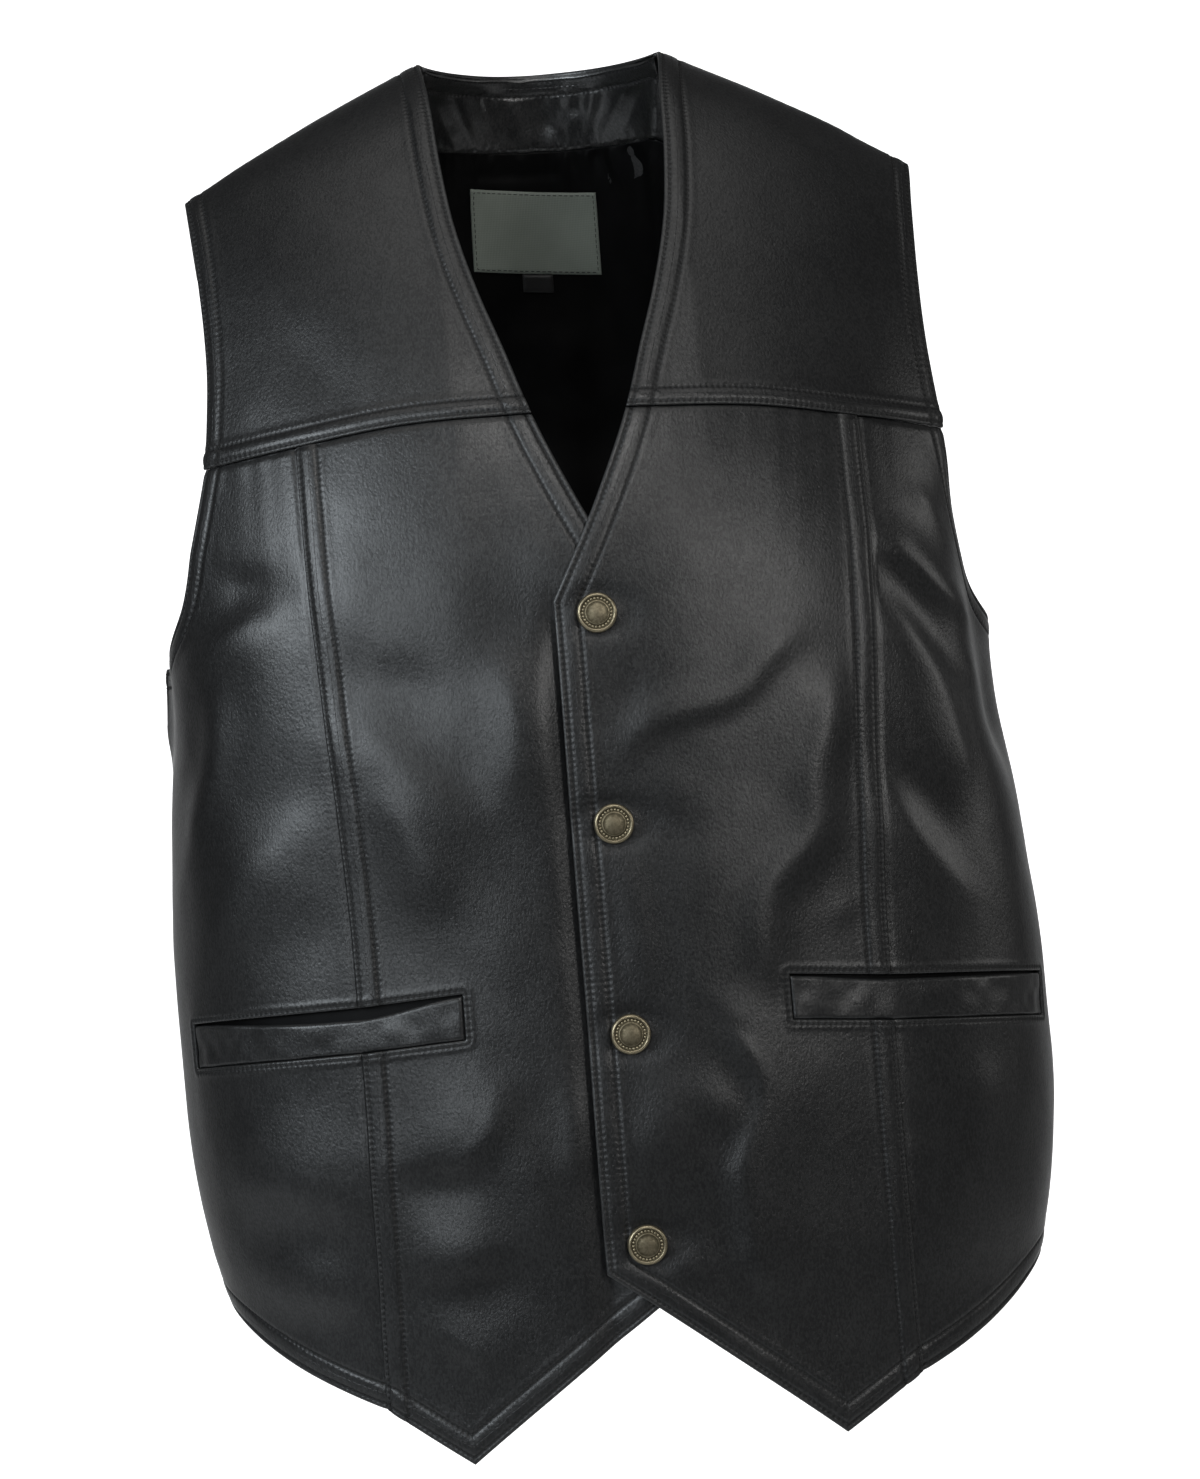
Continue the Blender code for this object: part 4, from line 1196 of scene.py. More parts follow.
def add_sums(sign, operation):
    """Gives wires a sum, with the wire first or second."""
    setattr(Wire, f"__{sign}__", lambda wire, other: wire.math(operation, wire, other))
    setattr(Wire, f"__r{sign}__", lambda wire, other: wire.math(operation, other, wire))


for sum_sign, sum_operation in (("add", "ADD"), ("sub", "SUBTRACT"), ("mul", "MULTIPLY")):
    add_sums(sum_sign, sum_operation)


class Finish:
    """A procedural material."""

    def __init__(self, name):
        self.material = bpy.data.materials.new(name)
        self.material.use_nodes = True
        self.tree = self.material.node_tree
        self.shader = self.tree.nodes["Principled BSDF"]

    def node(self, kind, settings, values, output=0):
        """Adds a node: its settings first, then the values or wires of its sockets."""
        node = self.tree.nodes.new(kind)
        for name, value in settings.items():
            setattr(node, name, value)
        for name, value in values.items():
            self.join(node.inputs[name], value)
        return Wire(self, node.outputs[output])

    def join(self, socket, value):
        if isinstance(value, Wire):
            self.tree.links.new(value.socket, socket)
        else:
            socket.default_value = value

    def surface(self, **values):
        """Sets or joins the shader's sockets, named with _ for a space."""
        for name, value in values.items():
            self.join(self.shader.inputs[name.replace("_", " ").title().replace("Ior", "IOR")], value)

    def place(self):
        return self.node("ShaderNodeTexCoord", {}, {}, "Object")

    def mark(self, name):
        return self.node("ShaderNodeAttribute", {"attribute_name": name}, {}, "Fac")

    def noise(self, place, scale, detail=2.0, distortion=0.0):
        values = {"Vector": place, "Scale": scale, "Detail": detail, "Distortion": distortion}
        return self.node("ShaderNodeTexNoise", {}, values, "Fac")

    def cells(self, place, scale):
        return self.node("ShaderNodeTexVoronoi", {}, {"Vector": place, "Scale": scale}, "Distance")

    def bands(self, place, direction, scale, distortion):
        settings = {"wave_type": "BANDS", "bands_direction": direction}
        values = {"Vector": place, "Scale": scale, "Distortion": distortion}
        return self.node("ShaderNodeTexWave", settings, values)

    def blend(self, share, first, second):
        settings = {"data_type": "RGBA", "blend_type": "MIX"}
        return self.node("ShaderNodeMix", settings, {"Factor": share, 6: first, 7: second}, 2)

    def ramp(self, value, low, high):
        settings = {"interpolation_type": "SMOOTHSTEP"}
        values = {"Value": value, "From Min": low, "From Max": high}
        return self.node("ShaderNodeMapRange", settings, values)

    def bump(self, height, strength, distance):
        values = {"Height": height, "Strength": strength, "Distance": distance}
        self.surface(normal=self.node("ShaderNodeBump", {}, values))


def opaque(colour):
    return (*colour, 1.0)


def leather_finish(name, colours, sizes, gloss, shine, coat):
    """Dyed leather: long fine wrinkles over a pebbled grain, paler along sewn edges (rubbed wear with a
    painted highlight), with painted shade along the rows of thread.
    """
    finish = Finish(name)
    place = finish.place()
    hung = finish.node("ShaderNodeMapping", {}, {"Vector": place, "Scale": (1.0, 1.0, 0.55)})
    grain = finish.noise(hung, 1.15 / sizes.grain, 2.5, 0.5)
    pebble = finish.cells(place, 0.8 / sizes.grain)
    drawn = finish.noise(hung, 130.0, 3.0, 0.6)
    patchy = finish.noise(place, 26.0, 3.0)
    tint = finish.ramp(0.5 * patchy + 0.5 * grain, 0.35, 0.65)
    colour = finish.blend(tint, opaque(colours.leather), opaque(colours.leather_pale))
    # Worn colour along sewn edges and rims: rubbed wear together with a painted highlight of the edges.
    colour = finish.blend(finish.mark("wear") * 0.6, colour, opaque(colours.leather_worn_and_sheen))
    beside = finish.mark("row_away")
    beside = beside * beside
    # Painted shade: a mask along each row of thread, whose groove is shaded.
    row_groove_shade = 1.0 - finish.ramp(beside, 0.0, SEWN_SHADE_HALF**2)
    wobble = 5.0 * finish.noise(place, 60.0, 2.0)
    stitches = finish.mark("row_along") * (2 * math.pi / sizes.stitch_pitch) + wobble
    tight = 0.5 + 0.5 * stitches.math("SINE", stitches, 0.0)
    pull = (1.0 - finish.ramp(beside, 0.0, PULL_HALF**2)) * tight
    # Painted shade: the colour darkened along the rows of thread.
    finish.surface(base_color=finish.blend(row_groove_shade * 0.8, colour, opaque(colours.groove)))
    finish.surface(roughness=gloss + 0.10 * patchy + 0.16 * (grain - 0.5) + 0.25 * row_groove_shade)
    polish = finish.ramp(grain + 0.35 * (drawn - 0.5) - 0.18 * (pebble - 0.48), 0.34, 0.66)
    coat_weight = (0.26 + 0.40 * polish) * (1.0 - 0.75 * row_groove_shade) * (1.0 - 0.2 * pull)
    finish.surface(coat_weight=coat_weight, coat_roughness=gloss + 0.06, coat_ior=coat)
    finish.surface(specular_ior_level=shine)
    finish.bump(grain * 1.6 + pebble * 0.55 + drawn * 0.4 - pull * 1.1 - row_groove_shade * tight, 0.45, 0.00025)
    return finish.material


def satin_finish(name, colour, pale, roughness):
    finish = Finish(name)
    place = finish.place()
    drawn_out = finish.node("ShaderNodeMapping", {}, {"Vector": place, "Scale": (1.0, 1.0, 0.12)})
    threads = finish.noise(drawn_out, 3800.0, 2.0)
    clouds = finish.noise(place, 60.0, 2.0)
    finish.surface(base_color=finish.blend(finish.ramp(clouds, 0.35, 0.7), opaque(colour), opaque(pale)))
    finish.surface(roughness=roughness + 0.12 * threads, specular_ior_level=0.12)
    finish.bump(threads, 0.25, 0.0001)
    return finish.material


def label_finish(name, colour, pale):
    """Woven satin: fine upright warp threads crossed by picks."""
    finish = Finish(name)
    place = finish.place()
    warp = finish.bands(place, "X", 420.0, 0.6)
    picks = finish.bands(place, "Z", 300.0, 0.8)
    clouds = finish.noise(place, 90.0, 3.0)
    share = 0.35 * warp + 0.25 * picks + 0.5 * clouds
    finish.surface(base_color=finish.blend(share, opaque(colour), opaque(pale)))
    finish.surface(roughness=0.42 + 0.16 * clouds)
    finish.surface(sheen_weight=0.2, sheen_roughness=0.45)
    finish.bump(warp + picks * 0.7, 0.35, 0.00012)
    return finish.material


def thread_finish(name, colour, pale):
    finish = Finish(name)
    place = finish.place()
    twist = finish.noise(place, 1400.0, 2.0)
    finish.surface(base_color=finish.blend(finish.ramp(twist, 0.3, 0.75), opaque(colour), opaque(pale)))
    finish.surface(roughness=0.45 + 0.2 * twist)
    finish.bump(twist, 0.4, 0.0001)
    return finish.material


def brass_finish(name, colours):
    """Old brass: bright where it is worn, dark in the hollows."""
    finish = Finish(name)
    place = finish.place()
    stain = finish.noise(place, 700.0, 4.0, 0.4)
    fleck = finish.noise(place, 2400.0, 2.0)
    # On the snaps this mark is rubbed wear only.
    worn = finish.ramp(finish.mark("wear") + 0.55 * stain - 0.28, 0.25, 0.8)
    finish.surface(base_color=finish.blend(worn, opaque(colours.brass_dark), opaque(colours.brass)))
    finish.surface(metallic=1.0)
    finish.surface(roughness=0.46 - 0.16 * worn + 0.10 * fleck)
    finish.bump(stain + fleck * 0.4, 0.25, 0.0001)
    return finish.material


# Where the backdrop's glow starts and ends, in metres
GLOW = 1.1
GLOW_DEPTH = (1.50, 2.15)
GLOW_LEFT = (-0.90, -0.66)
GLOW_RIGHT = (1.04, 1.28)
GLOW_TOP = (0.70, 0.95)


def backdrop_finish(name, colour):
    """Pale paper that glows in the part that the camera sees, and is plain beyond."""
    finish = Finish(name)
    place = finish.place()
    across, depth, up = (finish.node("ShaderNodeSeparateXYZ", {}, {0: place}, axis) for axis in "XYZ")
    cloud = finish.noise(place, 1.5, 1.0)
    pale = tuple(value * 1.02 for value in colour)
    finish.surface(base_color=finish.blend(cloud, opaque(colour), opaque(pale)))
    seen = finish.ramp(depth, *GLOW_DEPTH) * (1.0 - 0.9 * finish.ramp(across, *GLOW_RIGHT))
    seen = seen * (0.1 + 0.9 * finish.ramp(across, *GLOW_LEFT))
    seen = seen * (1.0 - 0.9 * finish.ramp(up, *GLOW_TOP))
    finish.surface(roughness=0.9, emission_strength=GLOW)
    finish.surface(emission_color=finish.blend(seen, opaque((0.0, 0.0, 0.0)), opaque((1.0, 1.0, 1.0))))
    return finish.material


def length_property(name, description, default):
    return FloatProperty(
        name=name, description=description, default=default, min=0.0, max=0.05, unit="LENGTH"
    )


def share_property(name, description):
    return FloatProperty(name=name, description=description, default=1.0, min=0.0)


def colour_property(name, description, default):
    return FloatVectorProperty(
        name=name, description=description, default=default, size=3, min=0.0, max=1.0, subtype="COLOR"
    )


class VestSizes(bpy.types.PropertyGroup):
    """Sizes of the sewing and the leather's surface."""

    thread: length_property("Thread radius", "Half the thickness of the topstitching thread", 0.00023)
    stitch_pitch: length_property("Stitch pitch", "Length of thread and gap along a row", 0.0027)
    stitch_length: length_property("Stitch length", "Length of thread that shows", 0.0021)
    grain: length_property("Grain", "Size of the pebbles in the leather's grain", 0.0011)
    puff: share_property("Puff", "Fullness of the strips between rows")
    groove: share_property("Groove", "Depth of the rows of thread")
    pucker: share_property("Pucker", "Height of the small puckers")
    beads: IntProperty(name="Beads", description="Beads round each snap cap", default=26, min=8, max=60)


class VestColours(bpy.types.PropertyGroup):
    """Colours of the vest and its stage."""

    leather: colour_property("Leather", "Black leather", (0.0046, 0.0048, 0.0052))
    leather_pale: colour_property("Leather, pale", "Leather with thinner dye", (0.0078, 0.0080, 0.0083))
    # Worn colour: rubbed leather with a painted highlight along the sewn edges.
    leather_worn_and_sheen: colour_property("Leather, worn", "Leather along rubbed folds", (0.028, 0.029, 0.029))
    # Painted shade along the rows of thread.
    groove: colour_property("Groove", "Leather along the rows of thread", (0.0020, 0.0020, 0.0022))
    # The lining's black is set near zero: its own colour with the shade of the vest's inside painted in.
    satin: colour_property("Satin", "Lining", (0.0012, 0.0012, 0.0014))
    satin_pale: colour_property("Satin, pale", "Lining in its brighter threads", (0.0030, 0.0030, 0.0032))
    label: colour_property("Label", "Woven label", (0.165, 0.190, 0.164))
    label_pale: colour_property("Label, pale", "Label in its brighter threads", (0.270, 0.304, 0.266))
    tab: colour_property("Tab", "Small tape below the label", (0.008, 0.008, 0.009))
    thread: colour_property("Thread", "Topstitching", (0.0022, 0.0022, 0.0024))
    thread_pale: colour_property("Thread, pale", "Topstitching in the light", (0.0070, 0.0072, 0.0075))
    brass: colour_property("Brass", "Snaps where they are rubbed", (0.36, 0.31, 0.21))
    brass_dark: colour_property("Brass, dark", "Snaps in their hollows", (0.085, 0.072, 0.046))
    backdrop: colour_property("Backdrop", "Floor and backdrop", (0.78, 0.78, 0.78))


def leather(context, name="black_leather_grain", gloss=0.30, shine=0.45, coat=1.5):
    made = bpy.data.materials.get(name)
    scene = context.scene
    return made or leather_finish(name, scene.vest_colours, scene.vest_sizes, gloss, shine, coat)


def glossy_leather(context):
    return leather(context, "facing_leather_grain", gloss=0.28, shine=0.9, coat=1.9)


def satin(context, name="black_lining_satin"):
    made = bpy.data.materials.get(name)
    colours = context.scene.vest_colours
    return made or satin_finish(name, colours.satin, colours.satin_pale, 0.42)


def sew_in(panel, context, finish):
    """Makes a panel, gives it its finish, and hides the solid that it stands for."""
    obj, grid, (width, length, area) = cloth_shell(panel, context.scene.vest_sizes)
    obj.data.materials.append(finish)
    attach(obj, BODY)
    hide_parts(panel.node)
    FINE[panel.name] = grid
    return obj


def pocket_window(columns, rows):
    return (columns < 1 - 1e-9) & (rows >= 1 - 1e-9) & (rows < 2 - 1e-9)


def snap_dent(angle, z):
    """The leather pressed in round the snap caps."""
    dent = 0.0
    for index in range(SNAP_COUNT):
        down = z - (SNAP_TOP_Z - index * SNAP_PITCH)
        away = np.hypot(angle * FRONT_RADIUS, down)
        dent = dent - DENT_DEPTH * np.exp(-(((away - DENT_RING) / DENT_REACH) ** 2))
    return dent


POCKET_FRAME = [(0, 1), (1, 1), (1, 2), (0, 2)]
POCKET_ZONE = 0.005  # reach of the small cells above and below the pocket
POCKET_END_ZONE = 0.004
YOKE_ZONE = 0.003


def front_panel(part, side, word, place, columns, rows, edges, **more):
    names = f"{part}_{word}", f"front_{part}_{word}"
    return Panel(*names, "black_leather", mirrored(place, side), columns, rows, edges, **more)


def yoke_panel(side, word):
    columns = stations([0.116], [Zone(0, SEWN_REACH, True), Zone(0.116, 0.011, True)], CELL)
    rows = stations([0.185], [Zone(0, 0.011, True)], 0.0012)
    edges = [
        Edge("turned", [(0, 0), (0, 1)]),
        Edge("armhole", [(1, 0), (1, 1)]),
        Edge("yoke_lap", [(0, 0), (1, 0)]),
        Edge("seam", [(0, 1), (1, 1)]),
    ]
    return front_panel("yoke", side, word, yoke_map(), columns, rows, edges, lifted=side > 0)


def closure_gap(angle, z):
    """The right front sinks where the left front's edge stands over it."""
    past = ring(angle, z)[0] + OVERLAP - 0.002
    below = 1 - smooth(z, BREAK_Z - 0.03, BREAK_Z + 0.02)
    return -GAP_DEPTH * below * np.exp(-((past / GAP_REACH) ** 2))


def pocket_columns(blocks, seam_zone, edge_zone):
    """Columns of a panel with half a pocket, from the panels' seam to the other edge."""
    ends = Zone(0, seam_zone, True), Zone(sum(blocks), edge_zone, True)
    return stations(blocks, [ends[0], Zone(blocks[0], POCKET_END_ZONE, False), ends[1]], CELL)


def pocket_rows(blocks, hem_zone):
    """Rows of a panel with half a pocket, from its hem to the yoke."""
    pocket_low, pocket_top = blocks[0], blocks[0] + blocks[1]
    zones = [
        Zone(0, hem_zone, True),
        Zone(pocket_low, POCKET_ZONE, False),
        Zone(pocket_top, POCKET_ZONE, False),
        Zone(sum(blocks), YOKE_ZONE, True),
    ]
    return stations(blocks, zones, ROW_CELL)


def centre_panel(side, word):
    columns = pocket_columns((0.052, 0.092), 0.0125, SEWN_REACH)
    rows = pocket_rows((0.155, 0.0205, 0.172, 0.083), 0.016)
    edges = [
        Edge("turned", [(2, 4), (2, 0), (0, 0)]),
        Edge("lap", [(0, 0), (0, 1)]),
        Edge("lap", [(0, 2), (0, 4)]),
        Edge("under_yoke", [(0, 4), (2, 4)]),
        Edge("frame", POCKET_FRAME),
    ]
    more = {"lifted": side > 0, "window": pocket_window, "relief": snap_dent if side > 0 else closure_gap}
    return front_panel("centre", side, word, centre_map(side), columns, rows, edges, **more)


def side_panel(side, word):
    columns = pocket_columns((0.067, 0.068), 0.006, 0.010)
    rows = pocket_rows((0.135, 0.0205, 0.150, 0.090), SEWN_REACH)
    edges = [
        Edge("turned", [(0, 0), (2, 0)]),
        Edge("armhole", [(2, 3), (2, 4)]),
        Edge("under", [(0, 0), (0, 1)]),
        Edge("under", [(0, 2), (0, 4)]),
        Edge("under_yoke", [(0, 4), (2, 4)]),
        Edge("frame", POCKET_FRAME),
        Edge("seam", [(2, 0), (2, 3)]),
    ]
    place = side_map(side)
    return front_panel("side", side, word, place, columns, rows, edges, window=pocket_window)


def back_panel():
    blocks = (0.115, 0.200, 0.115)
    columns = stations(blocks, [Zone(0, 0.011, True), Zone(sum(blocks), 0.011, True)], 0.0030)
    blocks = (0.290, 0.235, 0.042)
    rows = stations(blocks, [Zone(0, SEWN_REACH, True), Zone(sum(blocks), SEWN_REACH, True)], 0.0024)
    edges = [
        Edge("turned", [(0, 0), (3, 0)]),
        Edge("armhole", [(0, 1), (0, 3)]),
        Edge("armhole", [(3, 1), (3, 3)]),
        Edge("turned", [(1, 3), (2, 3)]),
        Edge("seam", [(0, 0), (0, 1)]),
        Edge("seam", [(3, 0), (3, 1)]),
        Edge("seam", [(0, 3), (1, 3)]),
        Edge("seam", [(2, 3), (3, 3)]),
    ]
    return Panel("back_panel", "back", "black_leather", back_map(), columns, rows, edges)


SIDES = ((-1, "right"), (1, "left"))


class VEST_OT_fronts(bpy.types.Operator):
    """Makes the front yokes, centre panels and side panels"""

    bl_idname = "vest.fronts"
    bl_label = "Leather fronts"

    def execute(self, context):
        for side, word in SIDES:
            for make in (yoke_panel, centre_panel, side_panel):
                sew_in(make(side, word), context, leather(context))
        return {"FINISHED"}


class VEST_OT_back(bpy.types.Operator):
    """Makes the back"""

    bl_idname = "vest.back"
    bl_label = "Leather back"

    def execute(self, context):
        sew_in(back_panel(), context, leather(context))
        return {"FINISHED"}


LOOSE_LINING = 0.0015  # how far the lining hangs clear of the leather below the armholes
# Folds of the facing and lining inside the back neck, from a to b, in x and z.
NeckFold = namedtuple("NeckFold", "x_a z_a x_b z_b width height")
FACING_FOLDS = (
    NeckFold(0.046, -0.008, 0.036, -0.026, 0.0028, 0.0009),
    NeckFold(0.053, -0.011, 0.043, -0.029, 0.0022, -0.0007),
    NeckFold(0.030, -0.010, 0.025, -0.030, 0.0030, 0.0009),
    NeckFold(0.018, -0.009, 0.018, -0.031, 0.0040, 0.0011),
    NeckFold(0.004, -0.011, 0.006, -0.026, 0.0035, -0.0009),
    NeckFold(-0.010, -0.013, -0.006, -0.029, 0.0045, 0.0009),
    NeckFold(-0.026, -0.010, -0.021, -0.024, 0.0030, -0.0008),
    NeckFold(-0.041, -0.010, -0.033, -0.030, 0.0028, 0.0009),
    NeckFold(-0.050, -0.016, -0.042, -0.031, 0.0024, -0.0007),
)
LINING_FOLDS = (
    NeckFold(-0.042, -0.0450, 0.009, -0.0450, 0.0030, -0.0007),
    NeckFold(-0.040, -0.0485, 0.007, -0.0480, 0.0030, 0.0005),
    NeckFold(0.024, -0.0375, 0.029, -0.058, 0.0026, 0.0013),
    NeckFold(0.031, -0.0380, 0.038, -0.056, 0.0024, -0.0011),
    NeckFold(0.037, -0.0370, 0.046, -0.060, 0.0028, 0.0013),
    NeckFold(0.045, -0.0370, 0.054, -0.052, 0.0022, -0.0010),
    NeckFold(0.052, -0.0360, 0.062, -0.058, 0.0028, 0.0012),
    NeckFold(0.014, -0.0380, 0.017, -0.053, 0.0026, 0.0009),
    NeckFold(-0.008, -0.0380, -0.008, -0.044, 0.0024, 0.0006),
    NeckFold(-0.022, -0.0380, -0.024, -0.044, 0.0024, 0.0006),
    NeckFold(-0.048, -0.0370, -0.053, -0.052, 0.0026, 0.0010),
    NeckFold(-0.057, -0.0360, -0.064, -0.056, 0.0026, 0.0010),
    NeckFold(0.060, -0.110, 0.040, -0.190, 0.0120, 0.0030),
    NeckFold(-0.060, -0.120, -0.045, -0.200, 0.0120, 0.0030),
    NeckFold(0.010, -0.130, 0.004, -0.240, 0.0140, 0.0025),
)


def neck_fold_height(folds, angle, z):
    x = ring(angle, z)[0] - LEAN * z
    place = np.stack([x, z], -1)
    total = np.zeros(np.shape(angle))
    for fold in folds:
        start, end = np.array([fold.x_a, fold.z_a]), np.array([fold.x_b, fold.z_b])
        away, share = line_distance(place, start, end)
        total = total + fold.height * (1 - 0.6 * share) * np.exp(-((away / fold.width) ** 2))
    return total


def facing_relief(angle, z):
    x = ring(angle, z)[0]
    rumple = hill_height(FACING_HILLS, x, z)
    low = 1 - smooth(z, -FACING_HEIGHT, -FACING_HEIGHT + 0.006)
    gather = 0.0003 * low * waver(x, 0.0022, 13, alternating=True)
    return neck_fold_height(FACING_FOLDS, angle, z) + rumple + gather


def lining_relief(angle, z):
    x = ring(angle, z)[0]
    seam = -FACING_HEIGHT + ridge_z(x)
    near = np.exp(-np.maximum(seam - z, 0) / 0.010) * (z < seam + 0.002)
    gather = 0.0007 * near * waver(x, 0.0028, 17, alternating=True) * (0.6 + 0.4 * waver(x, 0.017, 19))
    loose = LOOSE_LINING * (1 - smooth(z, -0.32, -0.24))
    folds = neck_fold_height(LINING_FOLDS, angle, z)
    return folds + gather + loose + hill_height(LINING_HILLS, x, z)


def label_relief(angle, z):
    return lining_relief(angle, z) * 0.5 + hill_height(LABEL_HILLS, ring(angle, z)[0], z)


def inside_panel(names, place, columns, rows, edges, wall, out, relief):
    """A panel that faces the inside. names are those of the piece, its node and its slot."""
    more = {"wall": wall, "out": out, "inward": True, "relief": relief}
    return Panel(*names, place, columns, rows, edges, **more)


def round_edge(style, low, high):
    return Edge(style, [(low, 0), (high, 0), (high, 1), (low, 1), (low, 0)])


def facing_panel():
    columns = stations([0.132], [], 0.0011, start=1.0)
    rows = stations([0.036], [Zone(0, 0.004, True), Zone(0.036, 0.012, True)], 0.0010, start=2.0)
    edges = [Edge("turned", [(1, 3), (2, 3)]), Edge("seam", [(1, 2), (2, 2)])]
    names = "neck_facing", "back_neck_facing", "black_leather"
    out = -WALL - SEAM_GAP
    return inside_panel(names, back_map(), columns, rows, edges, FACING_WALL, out, facing_relief)


def lining_panel():
    right, left = np.linspace(1 / 6, 1, 22), np.linspace(2, 17 / 6, 22)
    columns = np.concatenate([right[:-1], np.linspace(1, 2, 104)[:-1], left])
    finer_up = np.linspace(1, 0, 110) ** 1.35
    rows = np.concatenate([np.linspace(1 / 8, 1, 28)[:-1], 2 - finer_up * 0.998 - 0.002])
    names = "neck_lining", "back_lining", "black_satin"
    out = -WALL - SEAM_GAP
    return inside_panel(names, back_map(), columns, rows, [], LINING_WALL, out, lining_relief)


def tape_panel(names, style, half_width, top_z, height, cells):
    depth = WALL + LINING_WALL + 2 * SEAM_GAP + TAPE_ROOM
    columns, rows = (np.linspace(0, 1, count) for count in cells)
    place = tape_map(half_width, top_z, height)
    edges = [round_edge(style, 0, 1)]
    return inside_panel(names, place, columns, rows, edges, LABEL_WALL, -depth, label_relief)


class VEST_OT_neck(bpy.types.Operator):
    """Makes the facing, lining, label and tab inside the back neck"""

    bl_idname = "vest.neck"
    bl_label = "Inside of the neck"

    def execute(self, context):
        colours = context.scene.vest_colours
        sew_in(facing_panel(), context, glossy_leather(context))
        sew_in(lining_panel(), context, satin(context))
        woven = label_finish("grey_label_satin", colours.label, colours.label_pale)
        size = LABEL_HALF, LABEL_TOP, LABEL_HEIGHT
        names = "bare_label", "label", "label_satin"
        sew_in(tape_panel(names, "tape", *size, (100, 64)), context, woven)
        tape = label_finish("black_tab_tape", colours.tab, colours.satin_pale)
        size = TAB_HALF, LABEL_TOP - LABEL_HEIGHT - SEAM_GAP, TAB_HEIGHT
        names = "bare_tab", "size_tab", "tab_tape"
        sew_in(tape_panel(names, "bare", *size, (24, 14)), context, tape)
        return {"FINISHED"}


def welt_relief(angle, z):
    return hill_height(WELT_HILLS, np.abs(angle) * MEAN_RADIUS, z)


def welt_panel(side, word):
    columns = np.linspace(-WELT_REACH, WELT_REACH, 150)
    rows = stations([0.019], [Zone(0, 0.002, True), Zone(0.019, 0.002, True)], 0.0010)
    edges = [round_edge("bare", -WELT_REACH, WELT_REACH)]
    names = f"welt_{word}", f"pocket_welt_{word}", "black_leather"
    more = {"out": -0.0002, "lifted": side > 0, "relief": welt_relief}
    return Panel(*names, welt_map(side), columns, rows, edges, **more)


def bag_panel(side, word):
    columns, rows = np.linspace(BAG_INNER, BAG_OUTER, 60), np.linspace(BAG_LOW, BAG_HIGH, 60)
    names = f"bag_{word}", f"pocket_bag_{word}", "black_satin"
    more = {"wall": LINING_WALL, "out": -WALL - BAG_ROOM - 0.0004, "lifted": side > 0}
    return Panel(*names, pocket_map(side), columns, rows, [], **more)


class VEST_OT_pockets(bpy.types.Operator):
    """Makes the pocket welts and bags"""

    bl_idname = "vest.pockets"
    bl_label = "Pockets"

    def execute(self, context):
        for side, word in SIDES:
            sew_in(welt_panel(side, word), context, leather(context))
            sew_in(bag_panel(side, word), context, satin(context))
        return {"FINISHED"}


class VEST_OT_thread(bpy.types.Operator):
    """Sews the rows of topstitching"""

    bl_idname = "vest.thread"
    bl_label = "Topstitching"

    def execute(self, context):
        scene = context.scene
        sizes, colours = scene.vest_sizes, scene.vest_colours
        finish = thread_finish("black_thread", colours.thread, colours.thread_pale)
        for index, (name, grid) in enumerate(FINE.items()):
            lines = []
            for style, field in grid.fields:
                for row in (style.near, style.far):
                    if row:
                        lines.extend(contour(grid, field, row))
            if not lines:
                continue
            obj = sewn_thread(f"thread_{name}", lines, sizes, 500 + index)
            obj.data.materials.append(finish)
            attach(obj, BODY)
        return {"FINISHED"}


CapStep = namedtuple("CapStep", "radius height worn")
# The cap's top from its rim inwards, as shares of its radius and height.
CAP_STEPS = (
    CapStep(1.00, 0.42, 0.5),
    CapStep(0.985, 0.62, 0.9),
    CapStep(0.94, 0.82, 1.0),
    CapStep(0.88, 0.90, 1.0),
    CapStep(0.83, 0.84, 0.5),
    CapStep(0.80, 0.76, 0.15),
    CapStep(0.62, 0.80, 0.2),
    CapStep(0.58, 0.86, 0.6),
    CapStep(0.54, 0.84, 0.3),
    CapStep(0.40, 0.92, 0.5),
    CapStep(0.20, 0.98, 0.6),
    CapStep(0.05, 1.00, 0.6),
)
POST_STEPS = (
    CapStep(1.00, 0.60, 0.6),
    CapStep(0.95, 0.90, 0.9),
    CapStep(0.85, 1.00, 1.0),
    CapStep(0.62, 0.95, 0.6),
    CapStep(0.52, 0.60, 0.1),
    CapStep(0.40, 0.52, 0.2),
    CapStep(0.10, 0.50, 0.3),
)
BEAD_RADIUS = 0.00048
BEAD_RING = 0.71
ROUND_SIDES = 48


def deselect():
    bpy.ops.object.select_all(action="DESELECT")


def stepped_round(name, radius, height, steps):
    """A round piece, from a disc drawn up and in through its steps."""
    deselect()
    bpy.ops.mesh.primitive_circle_add(vertices=ROUND_SIDES, radius=radius, fill_type="NGON")
    obj = bpy.context.object
    obj.name = name
    bpy.ops.object.mode_set(mode="EDIT")
    bpy.ops.mesh.select_all(action="SELECT")
    bpy.ops.mesh.extrude_region_move(TRANSFORM_OT_translate={"value": (0, 0, steps[0].height * height)})
    for before, step in zip(steps, steps[1:]):
        share = step.radius / before.radius
        bpy.ops.mesh.extrude_region_move(
            TRANSFORM_OT_translate={"value": (0, 0, (step.height - before.height) * height)}
        )
        bpy.ops.transform.resize(value=(share, share, 1.0))
    bpy.ops.mesh.select_all(action="SELECT")
    bpy.ops.mesh.normals_make_consistent(inside=False)
    bpy.ops.object.mode_set(mode="OBJECT")
    return obj


